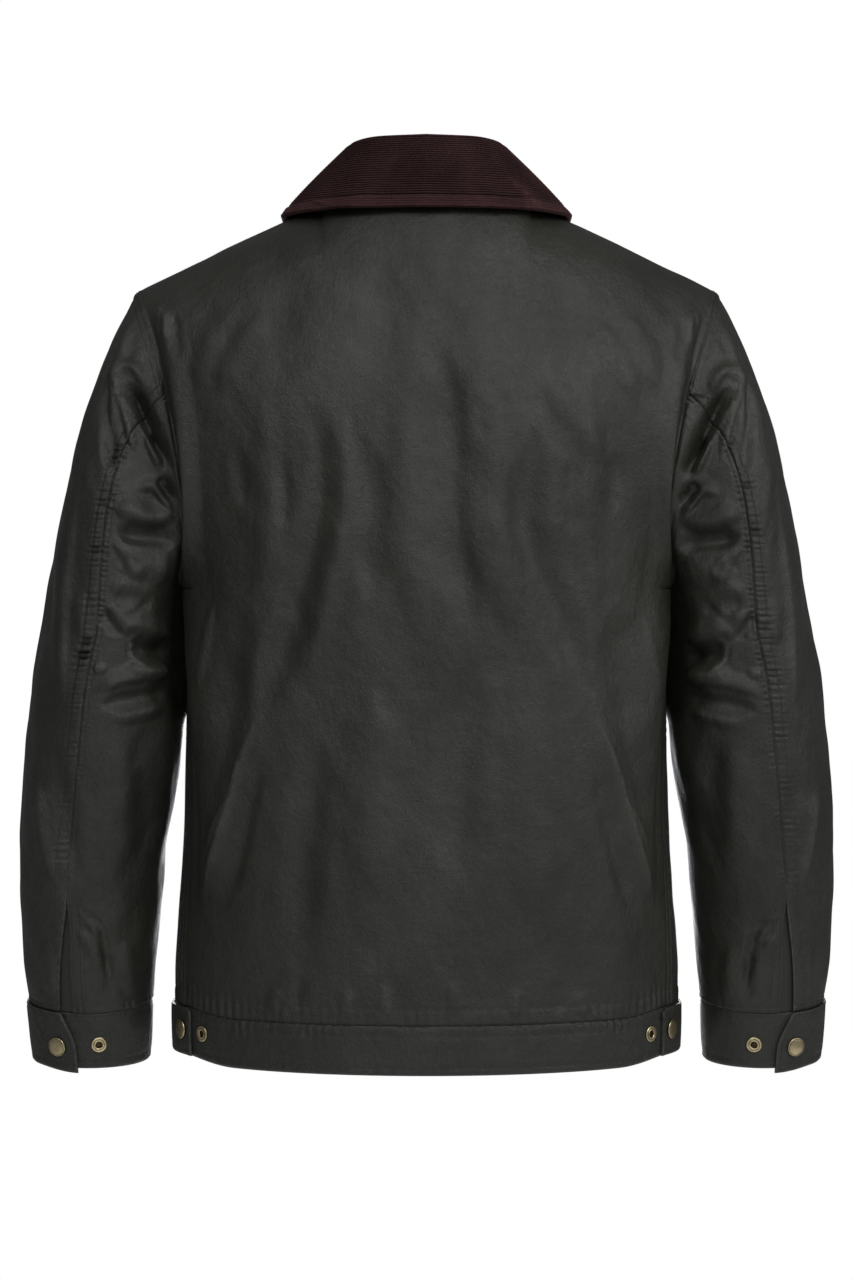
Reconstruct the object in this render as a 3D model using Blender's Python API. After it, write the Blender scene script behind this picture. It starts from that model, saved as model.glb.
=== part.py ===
"""Waxed cotton jacket: a short coat with a corduroy collar, two-piece sleeves, snap cuffs and a hem band.

The jacket stands filled out and hollow, as it is worn. Each cloth piece is one closed wall: a grid of
outer points from the functions below, with an inner point under each of them.

Frame: metres, +Z up, the front towards -Y and the wearer's left towards +X. The origin lies between the
shoulder seams, level with the neck.
"""

import math

import bpy
import numpy as np
from mathutils import Vector

# Cloth
CLOTH = 0.0018  # body and sleeve wall
BAND = 0.0028  # folded bands, tabs and the storm flap
COLLAR_WALL = 0.0030
SEAM = 0.00016  # half of the gap where two pieces meet
LAP = 0.0004  # gap between a piece and the panel that it lies on

# Heights of the body
HEM_LOW = -0.710
HEM_TOP = -0.6706
ARMPIT = -0.320
SHOULDER_X = 0.243
NECK_X = 0.085
NECK_Z = 0.003
SHOULDER_SLOPE = 0.482
SHOULDER_Z = NECK_Z - SHOULDER_SLOPE * (SHOULDER_X - NECK_X)
SQUARE = 0.82  # exponent of the body's rounded sections, 1 is an ellipse and less is squarer
ROUND_FROM, ROUND_OVER = -0.45, 0.21  # height at which the back starts to get rounder, and over how much

# Sleeves and cuffs
CAP_END = -0.360
SLEEVE_END = -0.6706
CUFF_TOP = -0.6711
CUFF_LOW = -0.7175
VENT_TOP = -0.579
ARM_SEAM = 75.0  # turn at which the back sleeve seam meets the armhole, degrees
FRONT_SEAM = -120.0  # turn of the hidden front sleeve seam
SLEEVE_RADIUS = 0.065
GUSSET_TURNS = (56.0, 89.0)
GUSSET_TOP = 1.69  # place along the sleeve
GUSSET_WALL, GUSSET_GAP = 0.0014, 0.0011
CUFF_START = 45.0  # turn of the end that lies under the lap
CUFF_UNDER, CUFF_SPARE = -0.0012, 0.0002  # how deep that end lies, and room over it
CUFF_CLIMB, CUFF_CLIMB_TURN = 130.0, 240.0  # where the band starts to rise over itself, and for how far
CUFF_CAP, CUFF_SOCKET = (422.8, -0.6983), (102.0, -0.6975)  # turn and height

# Hem, tabs and storm flap
HEM_PROUD = 0.0008
HEM_RISE, RISE_TOP, RISE_FADE = 0.005, -0.56, 0.10  # how much higher the hem hangs at its sides, and from where
RISE_START, RISE_END, RISE_OVER = 48.0, 130.0, 22.0  # turns between which it does, degrees
TAB_TURN_START, TAB_TURN_END, TAB_ROUND = 100.0, 66.0, 6.0
TAB_WALL, TAB_INSET = 0.0024, 0.0006
TAB_TIP = 0.06  # share of the tab's half height that is left at its round end, squared
HEM_CAP, HEM_SOCKET = (71.0, -0.6888), (60.3, -0.6881)
FRONT_GAP = 0.0008
PLACKET_X = (-0.030, -0.009, 0.012, 0.032)
PLACKET_LOW, PLACKET_TOP = -0.7095, -0.0775
PLACKET_SNAP_X = 0.019
PLACKET_SNAPS = (-0.690, -0.575, -0.460, -0.345, -0.230, -0.125)

# Collar
FOLD_RADIUS = 0.0036
COLLAR_ROLL, COLLAR_CROWN = 0.22, 0.003
COLLAR_RAISE, COLLAR_REST = 0.0018, 0.0030
COLLAR_END = 176.0  # turn of the front ends

# Grid density
CAP_ROWS, TUBE_ROWS, CUFF_STEPS = 8, 12, 26
ARM_STEPS = 12  # along half of the armhole
BACK_STEPS, BACK_NECK_STEPS = 14, 6
FRONT_STEPS, FRONT_NECK_STEPS = 10, 5
LOWER_ROWS = 14
PLACKET_ROWS, TAB_COLUMNS = 20, 9
CROWDING = 1.6  # how much closer the flap's rows lie near the neck and the tab's near its round end
WALES = 26  # corduroy ribs on the collar's fall
WALE_HEIGHT = 0.0006

# Snaps
SNAP_RADIUS = 0.0078
SOCKET_RADIUS = 0.0064
SNAP_SIDES = 12
SNAP_GAP = 0.0003


def table(names, *rows):
    """Named columns of numbers; the first column is what the others are looked up by."""
    return dict(zip(names.split(), np.array(sorted(rows), float).T))


# Half a turn is the panel's edge: the side seam below the armpit, the armhole above it.
BODY = table(
    "height back_x  front_x back_y  front_y turn",
    (-0.710, 0.2085, 0.2085, 0.136, -0.140, 73),
    (-0.684, 0.2093, 0.2093, 0.137, -0.141, 73.5),
    (-0.650, 0.2094, 0.2094, 0.137, -0.142, 74),
    (-0.600, 0.2073, 0.2073, 0.136, -0.143, 75),
    (-0.550, 0.2035, 0.2035, 0.135, -0.144, 76),
    (-0.500, 0.2010, 0.2010, 0.133, -0.146, 77),
    (-0.450, 0.1998, 0.1998, 0.132, -0.148, 80),
    (-0.380, 0.1988, 0.1988, 0.131, -0.150, 85),
    (-0.320, 0.1960, 0.1960, 0.131, -0.150, 90),
    (-0.290, 0.1955, 0.1905, 0.131, -0.149, 88),
    (-0.260, 0.1968, 0.1865, 0.130, -0.147, 85),
    (-0.200, 0.2060, 0.1870, 0.127, -0.141, 78),
    (-0.144, 0.2190, 0.2010, 0.119, -0.131, 68),
    (-0.090, 0.2375, 0.2320, 0.108, -0.118, 57),
    (SHOULDER_Z, SHOULDER_X, SHOULDER_X, 0.104, -0.112, 52),
)
SIDE_Y = 0.012  # where the body is widest
ARMHOLE_BACK, ARMHOLE_FRONT = 0.066, 0.072  # how far the armhole bows to the back and the front
NECK_BACK, NECK_FRONT = 0.078, 0.088
NECK_DROP_BACK, NECK_DROP_FRONT = 0.014, 0.078
NECK_SOFT, NECK_SHARP = 0.028, 26.0  # how widely and how high up the corner at the neck is rounded
NECK_BELL = 1.3  # how quickly the neck's curve fades towards the shoulder
SHOULDER_BACK, SHOULDER_FRONT = 4.2, 3.6  # how late the panels round over to the shoulder seam
EDGE_SHARP, EDGE_SHARPER = 6.0, 8.0  # how close to its edge a panel bends to the armhole, and at the armpit
EDGE_LEVEL = 0.05  # share of the armhole's height over which the armpit's bend fades
CREST_HEIGHT, CREST_PLACE, CREST_WIDTH = 0.0045, 0.90, 0.10  # the fold beside the armhole, across the panel
CREST_LOW, CREST_HIGH = (-0.50, 0.12), (-0.085, 0.06)  # height where it starts or ends, and its fade
FOLD_TIP, FOLD_BLUNT = 0.06, 0.7  # how a fold tapers out at its ends
FOLD_EDGE = 0.12  # share of a panel's half width over which folds fade towards its edge
SLEEVE_FOLD_TURN, SLEEVE_FOLD_FRONT = 2.5, 0.6  # folds fade over the sleeve's sides and are lower in front
SLEEVE_FOLD_TOP = 0.2  # share of the cap over which folds fade towards the armhole

SLEEVE = table(
    "height outer  inner  middle_y depth",
    (-0.7175, 0.3300, 0.2325, -0.012, 0.0440),
    (-0.700, 0.3320, 0.2311, -0.011, 0.0450),
    (-0.6675, 0.3350, 0.2303, -0.009, 0.0480),
    (-0.634, 0.3387, 0.2277, -0.006, 0.0535),
    (-0.600, 0.3400, 0.2244, -0.003, 0.0580),
    (-0.5667, 0.3413, 0.2218, 0.000, 0.0620),
    (-0.533, 0.3409, 0.2176, 0.003, 0.0655),
    (-0.4995, 0.3391, 0.2118, 0.005, 0.0690),
    (-0.4658, 0.3365, 0.2059, 0.006, 0.0720),
    (-0.432, 0.3333, 0.2032, 0.006, 0.0750),
    (-0.3986, 0.3300, 0.2024, 0.005, 0.0775),
    (CAP_END, 0.3232, 0.2022, 0.004, 0.0800),
)

# Direction in which the sleeve leaves the armhole, by the turn from the shoulder point
CAP_START = table(
    "turn out back down",
    (0, 0.44, 0.00, 0.90),
    (40, 0.60, 0.28, 0.74),
    (75, 0.78, 0.28, 0.56),
    (110, 0.70, 0.22, 0.68),
    (145, 0.40, 0.12, 0.91),
    (180, 0.10, 0.00, 0.99),
)

# Turn of the back sleeve seam, and of the two edges of the vent below it
SLEEVE_SEAM = table(
    "height upper under",
    (-0.6706, 66.0, 79.5),
    (-0.640, 69.5, 79.5),
    (-0.600, 74.5, 79.2),
    (VENT_TOP, 77.5, 77.5),
    (-0.546, 78.5, 78.5),
    (-0.467, 78.6, 78.6),
    (-0.420, 79.5, 79.5),
    (-0.397, 81.0, 81.0),
    (CAP_END, 85.0, 85.0),
)

# Turn of the lapped end of the cuff at each height
CUFF_END = table(
    "height turn",
    (CUFF_LOW, 441.5),
    (-0.707, 441.0),
    (-0.697, 440.5),
    (-0.686, 436.0),
    (CUFF_TOP, 427.0),
)

# The collar's fold line and outer edge by the turn from the middle of the back
COLLAR = table(
    "turn fold_x fold_y fold_z edge_x edge_y edge_z",
    (0, 0.000, 0.0720, 0.0450, 0.000, 0.1040, -0.0160),
    (30, 0.037, 0.0625, 0.0450, 0.061, 0.0910, -0.0150),
    (60, 0.0595, 0.0360, 0.0440, 0.1030, 0.0560, -0.0130),
    (90, 0.0665, 0.0000, 0.0420, 0.1195, 0.0040, -0.0100),
    (120, 0.0575, -0.0420, 0.0260, 0.1145, -0.0600, -0.0300),
    (150, 0.034, -0.0740, -0.0080, 0.088, -0.1080, -0.0780),
    (COLLAR_END, 0.006, -0.0900, -0.0400, 0.052, -0.1300, -0.1140),
)

# Soft folds seen from behind; the right side mirrors the left where "sides" is 2
BACK_FOLDS = table(
    "x1 z1 x2 z2 x3 z3 width height sides",
    (0.086, -0.190, 0.100, -0.300, 0.124, -0.373, 0.026, -0.0040, 2),
    (0.045, -0.200, 0.045, -0.278, 0.049, -0.345, 0.019, -0.0030, 1),
    (-0.022, -0.200, -0.023, -0.285, -0.018, -0.349, 0.019, -0.0030, 1),
    (0.065, -0.185, 0.067, -0.270, 0.072, -0.335, 0.020, 0.0022, 1),
    (0.014, -0.185, 0.014, -0.270, 0.010, -0.340, 0.020, 0.0022, 1),
    (-0.055, -0.190, -0.058, -0.280, -0.060, -0.350, 0.024, 0.0022, 1),
    (0.132, -0.415, 0.155, -0.480, 0.180, -0.567, 0.018, 0.0030, 2),
    (0.150, -0.330, 0.155, -0.400, 0.165, -0.440, 0.024, -0.0030, 2),
)
FRONT_FOLDS = table(
    "x1 z1 x2 z2 x3 z3 width height sides",
    (0.150, -0.200, 0.120, -0.290, 0.115, -0.380, 0.028, -0.0035, 2),
    (0.110, -0.180, 0.085, -0.280, 0.080, -0.360, 0.024, 0.0025, 2),
    (0.135, -0.430, 0.155, -0.500, 0.172, -0.580, 0.020, 0.0030, 2),
)
SLEEVE_FOLDS = table(
    "x1 z1 x2 z2 x3 z3 width height sides",
    (0.254, -0.146, 0.244, -0.180, 0.234, -0.212, 0.016, 0.0040, 2),
    (0.268, -0.150, 0.260, -0.185, 0.250, -0.225, 0.016, -0.0035, 2),
    (0.238, -0.290, 0.222, -0.276, 0.206, -0.272, 0.016, 0.0045, 2),
    (0.240, -0.312, 0.222, -0.300, 0.208, -0.296, 0.014, -0.0040, 2),
    (0.258, -0.322, 0.232, -0.338, 0.210, -0.356, 0.018, 0.0045, 2),
    (0.244, -0.372, 0.228, -0.380, 0.212, -0.388, 0.018, -0.0050, 2),
    (0.270, -0.405, 0.240, -0.412, 0.214, -0.400, 0.018, 0.0045, 2),
    (0.318, -0.480, 0.310, -0.540, 0.300, -0.590, 0.022, 0.0030, 2),
)


def look_up(rows, column, at):
    """A column's value at each place of the first column, on a curve that keeps between its rows."""
    knots, values = next(iter(rows.values())), rows[column]
    step = np.diff(knots)
    rise = np.diff(values) / step
    product = rise[1:] * rise[:-1]
    total = np.where(np.abs(rise[1:] + rise[:-1]) < 1e-12, 1.0, rise[1:] + rise[:-1])
    slope = np.concatenate([rise[:1], np.where(product > 0, 2 * product / total, 0.0), rise[-1:]])
    at = np.clip(at, knots[0], knots[-1])
    i = np.clip(np.searchsorted(knots, at, "right") - 1, 0, len(step) - 1)
    t = (at - knots[i]) / step[i]
    smooth = t * t * (3 - 2 * t)
    start, end = t * (1 - t) ** 2, t * t * (t - 1)
    return values[i] * (1 - smooth) + values[i + 1] * smooth + step[i] * (start * slope[i] + end * slope[i + 1])


def unit(vectors):
    return vectors / np.maximum(np.linalg.norm(vectors, axis=-1, keepdims=True), 1e-12)


def ease(t):
    t = np.clip(t, 0.0, 1.0)
    return t * t * (3 - 2 * t)


# ---------------------------------------------------------------- folds


def fold_relief(folds, x, z):
    """How far the folds lift the cloth at each x and z, each one a soft ridge or trough along its path."""
    lift = np.zeros(np.broadcast(x, z).shape)
    for k in range(len(folds["x1"])):
        path = [(folds[f"x{n}"][k], folds[f"z{n}"][k]) for n in (1, 2, 3)]
        width, height = folds["width"][k], folds["height"][k]
        for side in (1, -1)[: int(folds["sides"][k])]:
            best = np.full(lift.shape, 1e9)
            along = np.zeros(lift.shape)
            for piece, ((xa, za), (xb, zb)) in enumerate(zip(path, path[1:])):
                dx, dz = side * (xb - xa), zb - za
                t = ((x - side * xa) * dx + (z - za) * dz) / (dx * dx + dz * dz)
                t = np.clip(t, 0.0, 1.0)
                away = np.hypot(x - side * xa - t * dx, z - za - t * dz)
                along = np.where(away < best, (piece + t) / 2, along)
                best = np.minimum(best, away)
            ridge = 0.5 + 0.5 * np.cos(np.pi * np.clip(best / width, 0, 1))
            lift += height * ridge * np.sin(np.pi * np.clip(along, FOLD_TIP, 1 - FOLD_TIP)) ** FOLD_BLUNT
    return lift


# ---------------------------------------------------------------- body


def armhole_height(turn):
    """Height on the armhole's edge, by the turn in degrees from the shoulder point to the armpit."""
    middle, half = (SHOULDER_Z + ARMPIT) / 2, (SHOULDER_Z - ARMPIT) / 2
    return middle + half * np.cos(np.radians(turn))


def top_line(x, front):
    """Depth and height of the neck edge and the shoulder seam, at each distance from the middle."""
    x = np.abs(x)
    depth, drop = (-NECK_FRONT, NECK_DROP_FRONT) if front else (NECK_BACK, NECK_DROP_BACK)
    inside = np.clip(1 - (x / NECK_X) ** 2, 0.0, 1.0)
    return depth * np.sqrt(inside), NECK_Z - drop * inside - SHOULDER_SLOPE * np.maximum(x - NECK_X, 0.0)


def soft_top_line(x, front):
    """The same line without its corner at the neck, which the panel follows further down."""
    x = np.abs(x)
    depth, drop = (-NECK_FRONT, NECK_DROP_FRONT) if front else (NECK_BACK, NECK_DROP_BACK)
    bump = np.exp(-NECK_BELL * (x / NECK_X) ** 2)
    past = NECK_SOFT * np.log1p(np.exp((x - NECK_X) / NECK_SOFT))
    return depth * np.sqrt(bump), NECK_Z - drop * bump - SHOULDER_SLOPE * past


def squareness(height, on_back):
    """Exponent of the body's sections: the back becomes an ellipse at the hem."""
    rounder = (1 - SQUARE) * ease((ROUND_FROM - height) / ROUND_OVER)
    return SQUARE + np.where(on_back, rounder, 0.0)


def side_rise(turn, height):
    """How much higher the hem hangs at its tabs, by the turn in degrees from the middle of the back."""
    near = ease((turn - RISE_START) / RISE_OVER) * ease((RISE_END - turn) / RISE_OVER)
    return HEM_RISE * near * ease((RISE_TOP - height) / RISE_FADE)


def torso_base(across, height, front):
    """The body without folds. Across runs from -1 to 1 between the panel's edges, 0 in the middle."""
    across, height = np.broadcast_arrays(np.asarray(across, float), np.asarray(height, float))
    steps, neck_steps = (FRONT_STEPS, FRONT_NECK_STEPS) if front else (BACK_STEPS, BACK_NECK_STEPS)
    edge_x = look_up(BODY, "back_x", height)
    if front:
        edge_x = np.where(height > ARMPIT, look_up(BODY, "front_x", height), edge_x)
    deep = look_up(BODY, "front_y" if front else "back_y", height)
    edge_turn = np.radians(look_up(BODY, "turn", height))
    edge_turn = np.where((height < ARMPIT) & front, np.pi - edge_turn, edge_turn)
    over_armpit = height > ARMPIT
    edge_sine = np.where(over_armpit, np.sin(edge_turn) ** SQUARE, 1.0)

    reach, neck_reach = np.abs(across), neck_steps / steps
    neck_part = NECK_X * np.sin(np.pi / 2 * np.minimum(reach / neck_reach, 1.0))
    top_x = neck_part + (SHOULDER_X - NECK_X) * np.maximum(reach - neck_reach, 0.0) / (1 - neck_reach)
    top_turn = np.arcsin(np.clip(top_x / SHOULDER_X * edge_sine, 0, 1) ** (1 / SQUARE))
    up = ease((height - ARMPIT) / (SHOULDER_Z - ARMPIT))
    turn = reach * edge_turn * (1 - up) + top_turn * up
    cosine = np.cos(turn)
    square = squareness(height, (cosine >= 0) != front)
    x = edge_x / edge_sine * np.abs(np.sin(turn)) ** square

    top_y, top_z = top_line(x, front)
    edge_top_z = top_line(edge_x, False)[1]
    rise = np.clip((height - ARMPIT) / (edge_top_z - ARMPIT), 0.0, 1 - 1e-9)
    round_off = np.sqrt(1 - rise ** (SHOULDER_FRONT if front else SHOULDER_BACK))
    level = np.clip((height - ARMPIT) / (SHOULDER_Z - ARMPIT), 0.0, 1.0)
    bow = 2 * np.sqrt(level * (1 - level)) * (-ARMHOLE_FRONT if front else ARMHOLE_BACK)
    edge_y = (SIDE_Y * (1 - level) + bow) / round_off
    free_edge_y = SIDE_Y + (deep - SIDE_Y) * np.abs(np.cos(edge_turn)) ** SQUARE
    near_edge = np.minimum(reach, 1.0) ** (EDGE_SHARP + EDGE_SHARPER * np.exp(-level / EDGE_LEVEL))
    fall = np.sign(cosine) * np.abs(cosine) ** square
    opposite = look_up(BODY, "back_y" if front else "front_y", height)
    y = SIDE_Y + np.where(fall >= 0, (deep - SIDE_Y) * fall, (opposite - SIDE_Y) * -fall)
    y = y + np.where(over_armpit, (edge_y - free_edge_y) * near_edge, 0.0)
    soft_y, soft_z = soft_top_line(x, front)
    corner = rise**NECK_SHARP
    rounded = soft_y + (y - soft_y) * round_off + (top_y - soft_y) * corner
    y = np.where(over_armpit, rounded, y)
    height_there = ARMPIT + (soft_z - ARMPIT) * rise + (top_z - soft_z) * corner
    from_back = np.degrees(np.pi - turn if front else turn)
    z = np.where(over_armpit, height_there, height + side_rise(from_back, height))
    return np.stack([np.sign(across) * x, y, z], axis=-1)


def slope_normal(surface, u, v, step_u, step_v):
    """Unit normal of a surface of two parameters, on the side that u crossed with v gives."""
    along_u = surface(u + step_u, v) - surface(u - step_u, v)
    along_v = surface(u, v + step_v) - surface(u, v - step_v)
    return unit(np.cross(along_u, along_v))


def torso_normal(across, height, front):
    across, height = np.broadcast_arrays(np.asarray(across, float), np.asarray(height, float))
    across = np.clip(across, -0.9999, 0.9999)
    height = np.minimum(height, SHOULDER_Z - 1e-5)
    normal = slope_normal(lambda u, v: torso_base(u, v, front), across, height, 1e-4, 1e-5)
    return normal if front else -normal


def armhole_crest(across, height, front):
    """The soft fold that stands beside the armhole where spare width gathers."""
    if front:
        return 0.0
    (low, low_fade), (high, high_fade) = CREST_LOW, CREST_HIGH
    window = ease((height - low) / low_fade) * ease((high - height) / high_fade)
    beside = np.clip(1 - np.abs(np.abs(across) - CREST_PLACE) / CREST_WIDTH, 0, 1)
    return CREST_HEIGHT * window * np.sin(np.pi / 2 * beside) ** 2


def torso(across, height, front, lift=0.0):
    """The body with its folds, moved out by lift."""
    points = torso_base(across, height, front)
    normal = torso_normal(across, height, front)
    folds = fold_relief(FRONT_FOLDS if front else BACK_FOLDS, points[..., 0], points[..., 2])
    folds = folds * ease((1 - np.abs(across)) / FOLD_EDGE)
    rise = lift + folds + armhole_crest(across, height, front)
    return points + normal * np.asarray(rise)[..., None]


def torso_at(x, z, front, lift=0.0):
    """A point on the body's outside at a given x and z below the shoulder, and its normal."""
    height, across = min(z, SHOULDER_Z), 0.5
    shares = np.linspace(0, 1, 200)
    for _ in range(12):
        across = np.interp(abs(x), torso_base(shares, height, front)[:, 0], shares)
        height = min(height + 0.8 * (z - torso_base(across, height, front)[2]), SHOULDER_Z)
    across = math.copysign(across, x)
    return torso(across, height, front, lift), torso_normal(across, height, front)


# ---------------------------------------------------------------- sleeve


def armhole_point(turn):
    """A point on the left armhole's edge; turns over 180 degrees run up the front."""
    turn = np.mod(turn, 360.0)
    folded = np.where(turn > 180, 360 - turn, turn)
    height = armhole_height(folded)
    back, front = torso_base(1.0, height, False), torso_base(1.0, height, True)
    return np.where((turn > 180)[..., None], front, back)


def sleeve_ring(turn, height):
    outer, inner = look_up(SLEEVE, "outer", height), look_up(SLEEVE, "inner", height)
    angle = np.radians(turn)
    x = (outer + inner) / 2 + (outer - inner) / 2 * np.cos(angle)
    y = look_up(SLEEVE, "middle_y", height) + look_up(SLEEVE, "depth", height) * np.sin(angle)
    return np.stack(np.broadcast_arrays(x, y, height), axis=-1)


def sleeve_base(turn, along):
    """The left sleeve without folds: along runs 0 to 1 down the cap and 1 to 2 down to the cuff."""
    turn, along = np.broadcast_arrays(np.asarray(turn, float), np.asarray(along, float))
    start, end = armhole_point(turn), sleeve_ring(turn, np.full(turn.shape, CAP_END))
    below = sleeve_ring(turn, np.full(turn.shape, CAP_END - 0.002))
    length = np.linalg.norm(end - start, axis=-1, keepdims=True)
    folded = np.abs(np.mod(turn + 180, 360) - 180)
    back = look_up(CAP_START, "back", folded) * np.where(np.mod(turn, 360) > 180, -1.0, 1.0)
    out, down = look_up(CAP_START, "out", folded), look_up(CAP_START, "down", folded)
    leave = unit(np.stack([out, back, -down], axis=-1)) * length
    arrive = unit(below - end) * length
    t = np.clip(along, 0.0, 1.0)[..., None]
    cap = (
        start * (1 + 2 * t) * (1 - t) ** 2
        + end * t * t * (3 - 2 * t)
        + leave * t * (1 - t) ** 2
        + arrive * t * t * (t - 1)
    )
    height = CAP_END + (SLEEVE_END - CAP_END) * (along - 1)
    tube = sleeve_ring(turn, np.minimum(height, CAP_END))
    return np.where((along > 1)[..., None], tube, cap)


def sleeve_normal(turn, along):
    turn, along = np.broadcast_arrays(np.asarray(turn, float), np.asarray(along, float))
    return -slope_normal(sleeve_base, turn, np.clip(along, 2e-3, 2 - 2e-3), 0.05, 1e-3)


def sleeve(turn, along, lift=0.0):
    """The left sleeve with its folds, moved out by lift."""
    points, normal = sleeve_base(turn, along), sleeve_normal(turn, along)
    sine = np.sin(np.radians(turn))
    share = ease(sine * SLEEVE_FOLD_TURN) + SLEEVE_FOLD_FRONT * ease(-sine * SLEEVE_FOLD_TURN)
    folds = fold_relief(SLEEVE_FOLDS, points[..., 0], points[..., 2])
    rise = lift + folds * share * ease(np.asarray(along) / SLEEVE_FOLD_TOP)
    return points + normal * np.asarray(rise)[..., None]


def seam_turn(edge, along):
    """Turn of the back seam's edge for the upper or the under sleeve."""
    height = CAP_END + (SLEEVE_END - CAP_END) * (along - 1)
    on_tube = look_up(SLEEVE_SEAM, edge, np.minimum(height, CAP_END))
    return np.where(along < 1, ARM_SEAM + (on_tube - ARM_SEAM) * ease(along), on_tube)


# ---------------------------------------------------------------- walls


def strip_between(first, second):
    """Triangles between two rows of vertices that run side by side, whatever their counts."""
    faces, i, j = [], 0, 0
    while i < len(first) - 1 or j < len(second) - 1:
        ahead = j == len(second) - 1 or (i < len(first) - 1 and i * (len(second) - 1) <= j * (len(first) - 1))
        if ahead:
            faces.append((first[i], first[i + 1], second[j]))
            i += 1
        else:
            faces.append((first[i], second[j + 1], second[j]))
            j += 1
    return faces


def wall_mesh(name, outer, inner, mirrored=0):
    """A closed wall between two grids with the same columns; their rows may differ in number.

    The squares of the first columns, as many as mirrored says, are split along their other diagonal.
    """
    grids, faces, start = [], [], 0
    for points in (outer, inner):
        rows, columns = points.shape[:2]
        index = np.arange(start, start + rows * columns).reshape(rows, columns)
        start += rows * columns
        grids.append(index)
    for index, turned in zip(grids, (False, True)):
        for row, column in np.ndindex(index.shape[0] - 1, index.shape[1] - 1):
            a, b = index[row, column : column + 2].tolist()
            d, c = index[row + 1, column : column + 2].tolist()
            pair = [(a, b, d), (b, c, d)] if column < mirrored else [(a, b, c), (a, c, d)]
            faces += [tri[::-1] for tri in pair] if turned else pair
    top, under = grids
    sides = [(top[0], under[0], True), (top[-1], under[-1], False)]
    sides += [(top[:, 0], under[:, 0], False), (top[:, -1], under[:, -1], True)]
    for first, second, turned in sides:
        strip = strip_between(first.tolist(), second.tolist())
        faces += [tri[::-1] for tri in strip] if turned else strip
    mesh = bpy.data.meshes.new(name)
    points = np.concatenate([outer.reshape(-1, 3), inner.reshape(-1, 3)])
    mesh.from_pydata(points.tolist(), [], faces)
    return mesh


def face_out(mesh):
    """Turns a closed mesh's faces outward, by the sign of its volume."""
    volume = 0.0
    for face in mesh.polygons:
        a, b, c = (mesh.vertices[i].co for i in face.vertices[:3])
        volume += a.dot(b.cross(c))
    if volume < 0:
        mesh.flip_normals()


def add_object(name, mesh, material, smooth=True):
    face_out(mesh)
    if smooth:
        mesh.shade_smooth()
        mesh.set_sharp_from_angle(angle=math.radians(40))
    mesh.materials.append(material)
    made = bpy.data.objects.new(name, mesh)
    bpy.context.scene.collection.objects.link(made)
    return made


def grid_normals(points, guide):
    """Normals of a grid from its own points, on the guide's side."""
    along_rows = np.gradient(points, axis=0)
    along_columns = np.gradient(points, axis=1)
    normal = unit(np.cross(along_rows, along_columns))
    return np.where(np.sum(normal * guide, axis=-1, keepdims=True) < 0, -normal, normal)


def flip(points, side):
    return points * [side, 1.0, 1.0]


# ---------------------------------------------------------------- body panels


def body_heights():
    lower = np.linspace(HEM_TOP, ARMPIT, LOWER_ROWS + 1)
    upper = armhole_height(np.linspace(180, 0, ARM_STEPS + 1)[1:])
    return np.concatenate([lower, upper])


def armhole_seam(turn):
    """Mitre of the armhole: the direction inward between the two walls, and the step from sleeve to body."""
    turn = np.asarray(turn, float)
    ahead = unit(armhole_point(turn + 0.5) - armhole_point(turn - 0.5))
    folded = np.abs(np.mod(turn + 180, 360) - 180)
    height = np.clip(armhole_height(folded), ARMPIT + 2e-4, SHOULDER_Z - 2e-4)
    on_front = (np.mod(turn, 360) > 180)[..., None]
    body = np.where(on_front, torso_normal(0.999, height, True), torso_normal(0.999, height, False))
    arm = sleeve_normal(turn, 0.0)
    middle = unit(body + arm + 1e-6)
    reach = 1 / np.maximum(np.sum(middle * body, axis=-1, keepdims=True), 0.68)
    apart = unit(np.cross(ahead, middle))
    into_body, into_arm = np.cross(body, ahead), np.cross(arm, ahead)
    into_arm *= np.sign(np.sum(into_arm * (sleeve_base(turn, 0.05) - armhole_point(turn)), axis=-1, keepdims=True))
    into_body *= np.sign(-np.sum(into_body * into_arm, axis=-1, keepdims=True))
    side = np.sum(apart * (into_body - into_arm - body + arm), axis=-1, keepdims=True)
    return middle * reach, apart * np.sign(side)


def body_panel(name, across, front, material):
    """A wall over the body's function, mitred along the armhole."""
    heights = body_heights()
    grid = np.meshgrid(across, heights)
    outer = torso(*grid, front)
    guide = torso_normal(*grid, front)
    normal = grid_normals(outer, guide)
    normal[[0, -1]], normal[:, [0, -1]] = guide[[0, -1]], guide[:, [0, -1]]
    inner = outer - CLOTH * normal
    turns = np.linspace(180, 0, ARM_STEPS + 1)
    inward, apart = armhole_seam(-turns if front else turns)
    rows = slice(LOWER_ROWS, None)
    for column, side in ((0, -1), (-1, 1)):
        if abs(across[column]) > 0.99:
            edge = flip(armhole_point(-turns if front else turns), side)
            outer[rows, column] = edge + flip(SEAM * apart, side)
            inner[rows, column] = outer[rows, column] - flip(CLOTH * inward, side)
            lower = slice(0, LOWER_ROWS + 1)
            for points in (outer, inner):
                points[lower, column, 1] += -SEAM if front else SEAM
    shoulder = -SEAM if front else SEAM
    outer[-1, :, 1] += shoulder
    inner[-1, :, 1] += shoulder
    mirrored = int(np.sum(across[:-1] < -FRONT_GAP))
    add_object(name, wall_mesh(name, outer, inner, mirrored), material)


def add_body(cloth):
    body_panel("back", np.linspace(-1, 1, 2 * BACK_STEPS + 1), False, cloth)
    half = np.linspace(0, 1, FRONT_STEPS + 1)
    half[0] = FRONT_GAP
    body_panel("front_left", half, True, cloth)
    body_panel("front_right", -half[::-1], True, cloth)


# ---------------------------------------------------------------- sleeves


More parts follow.
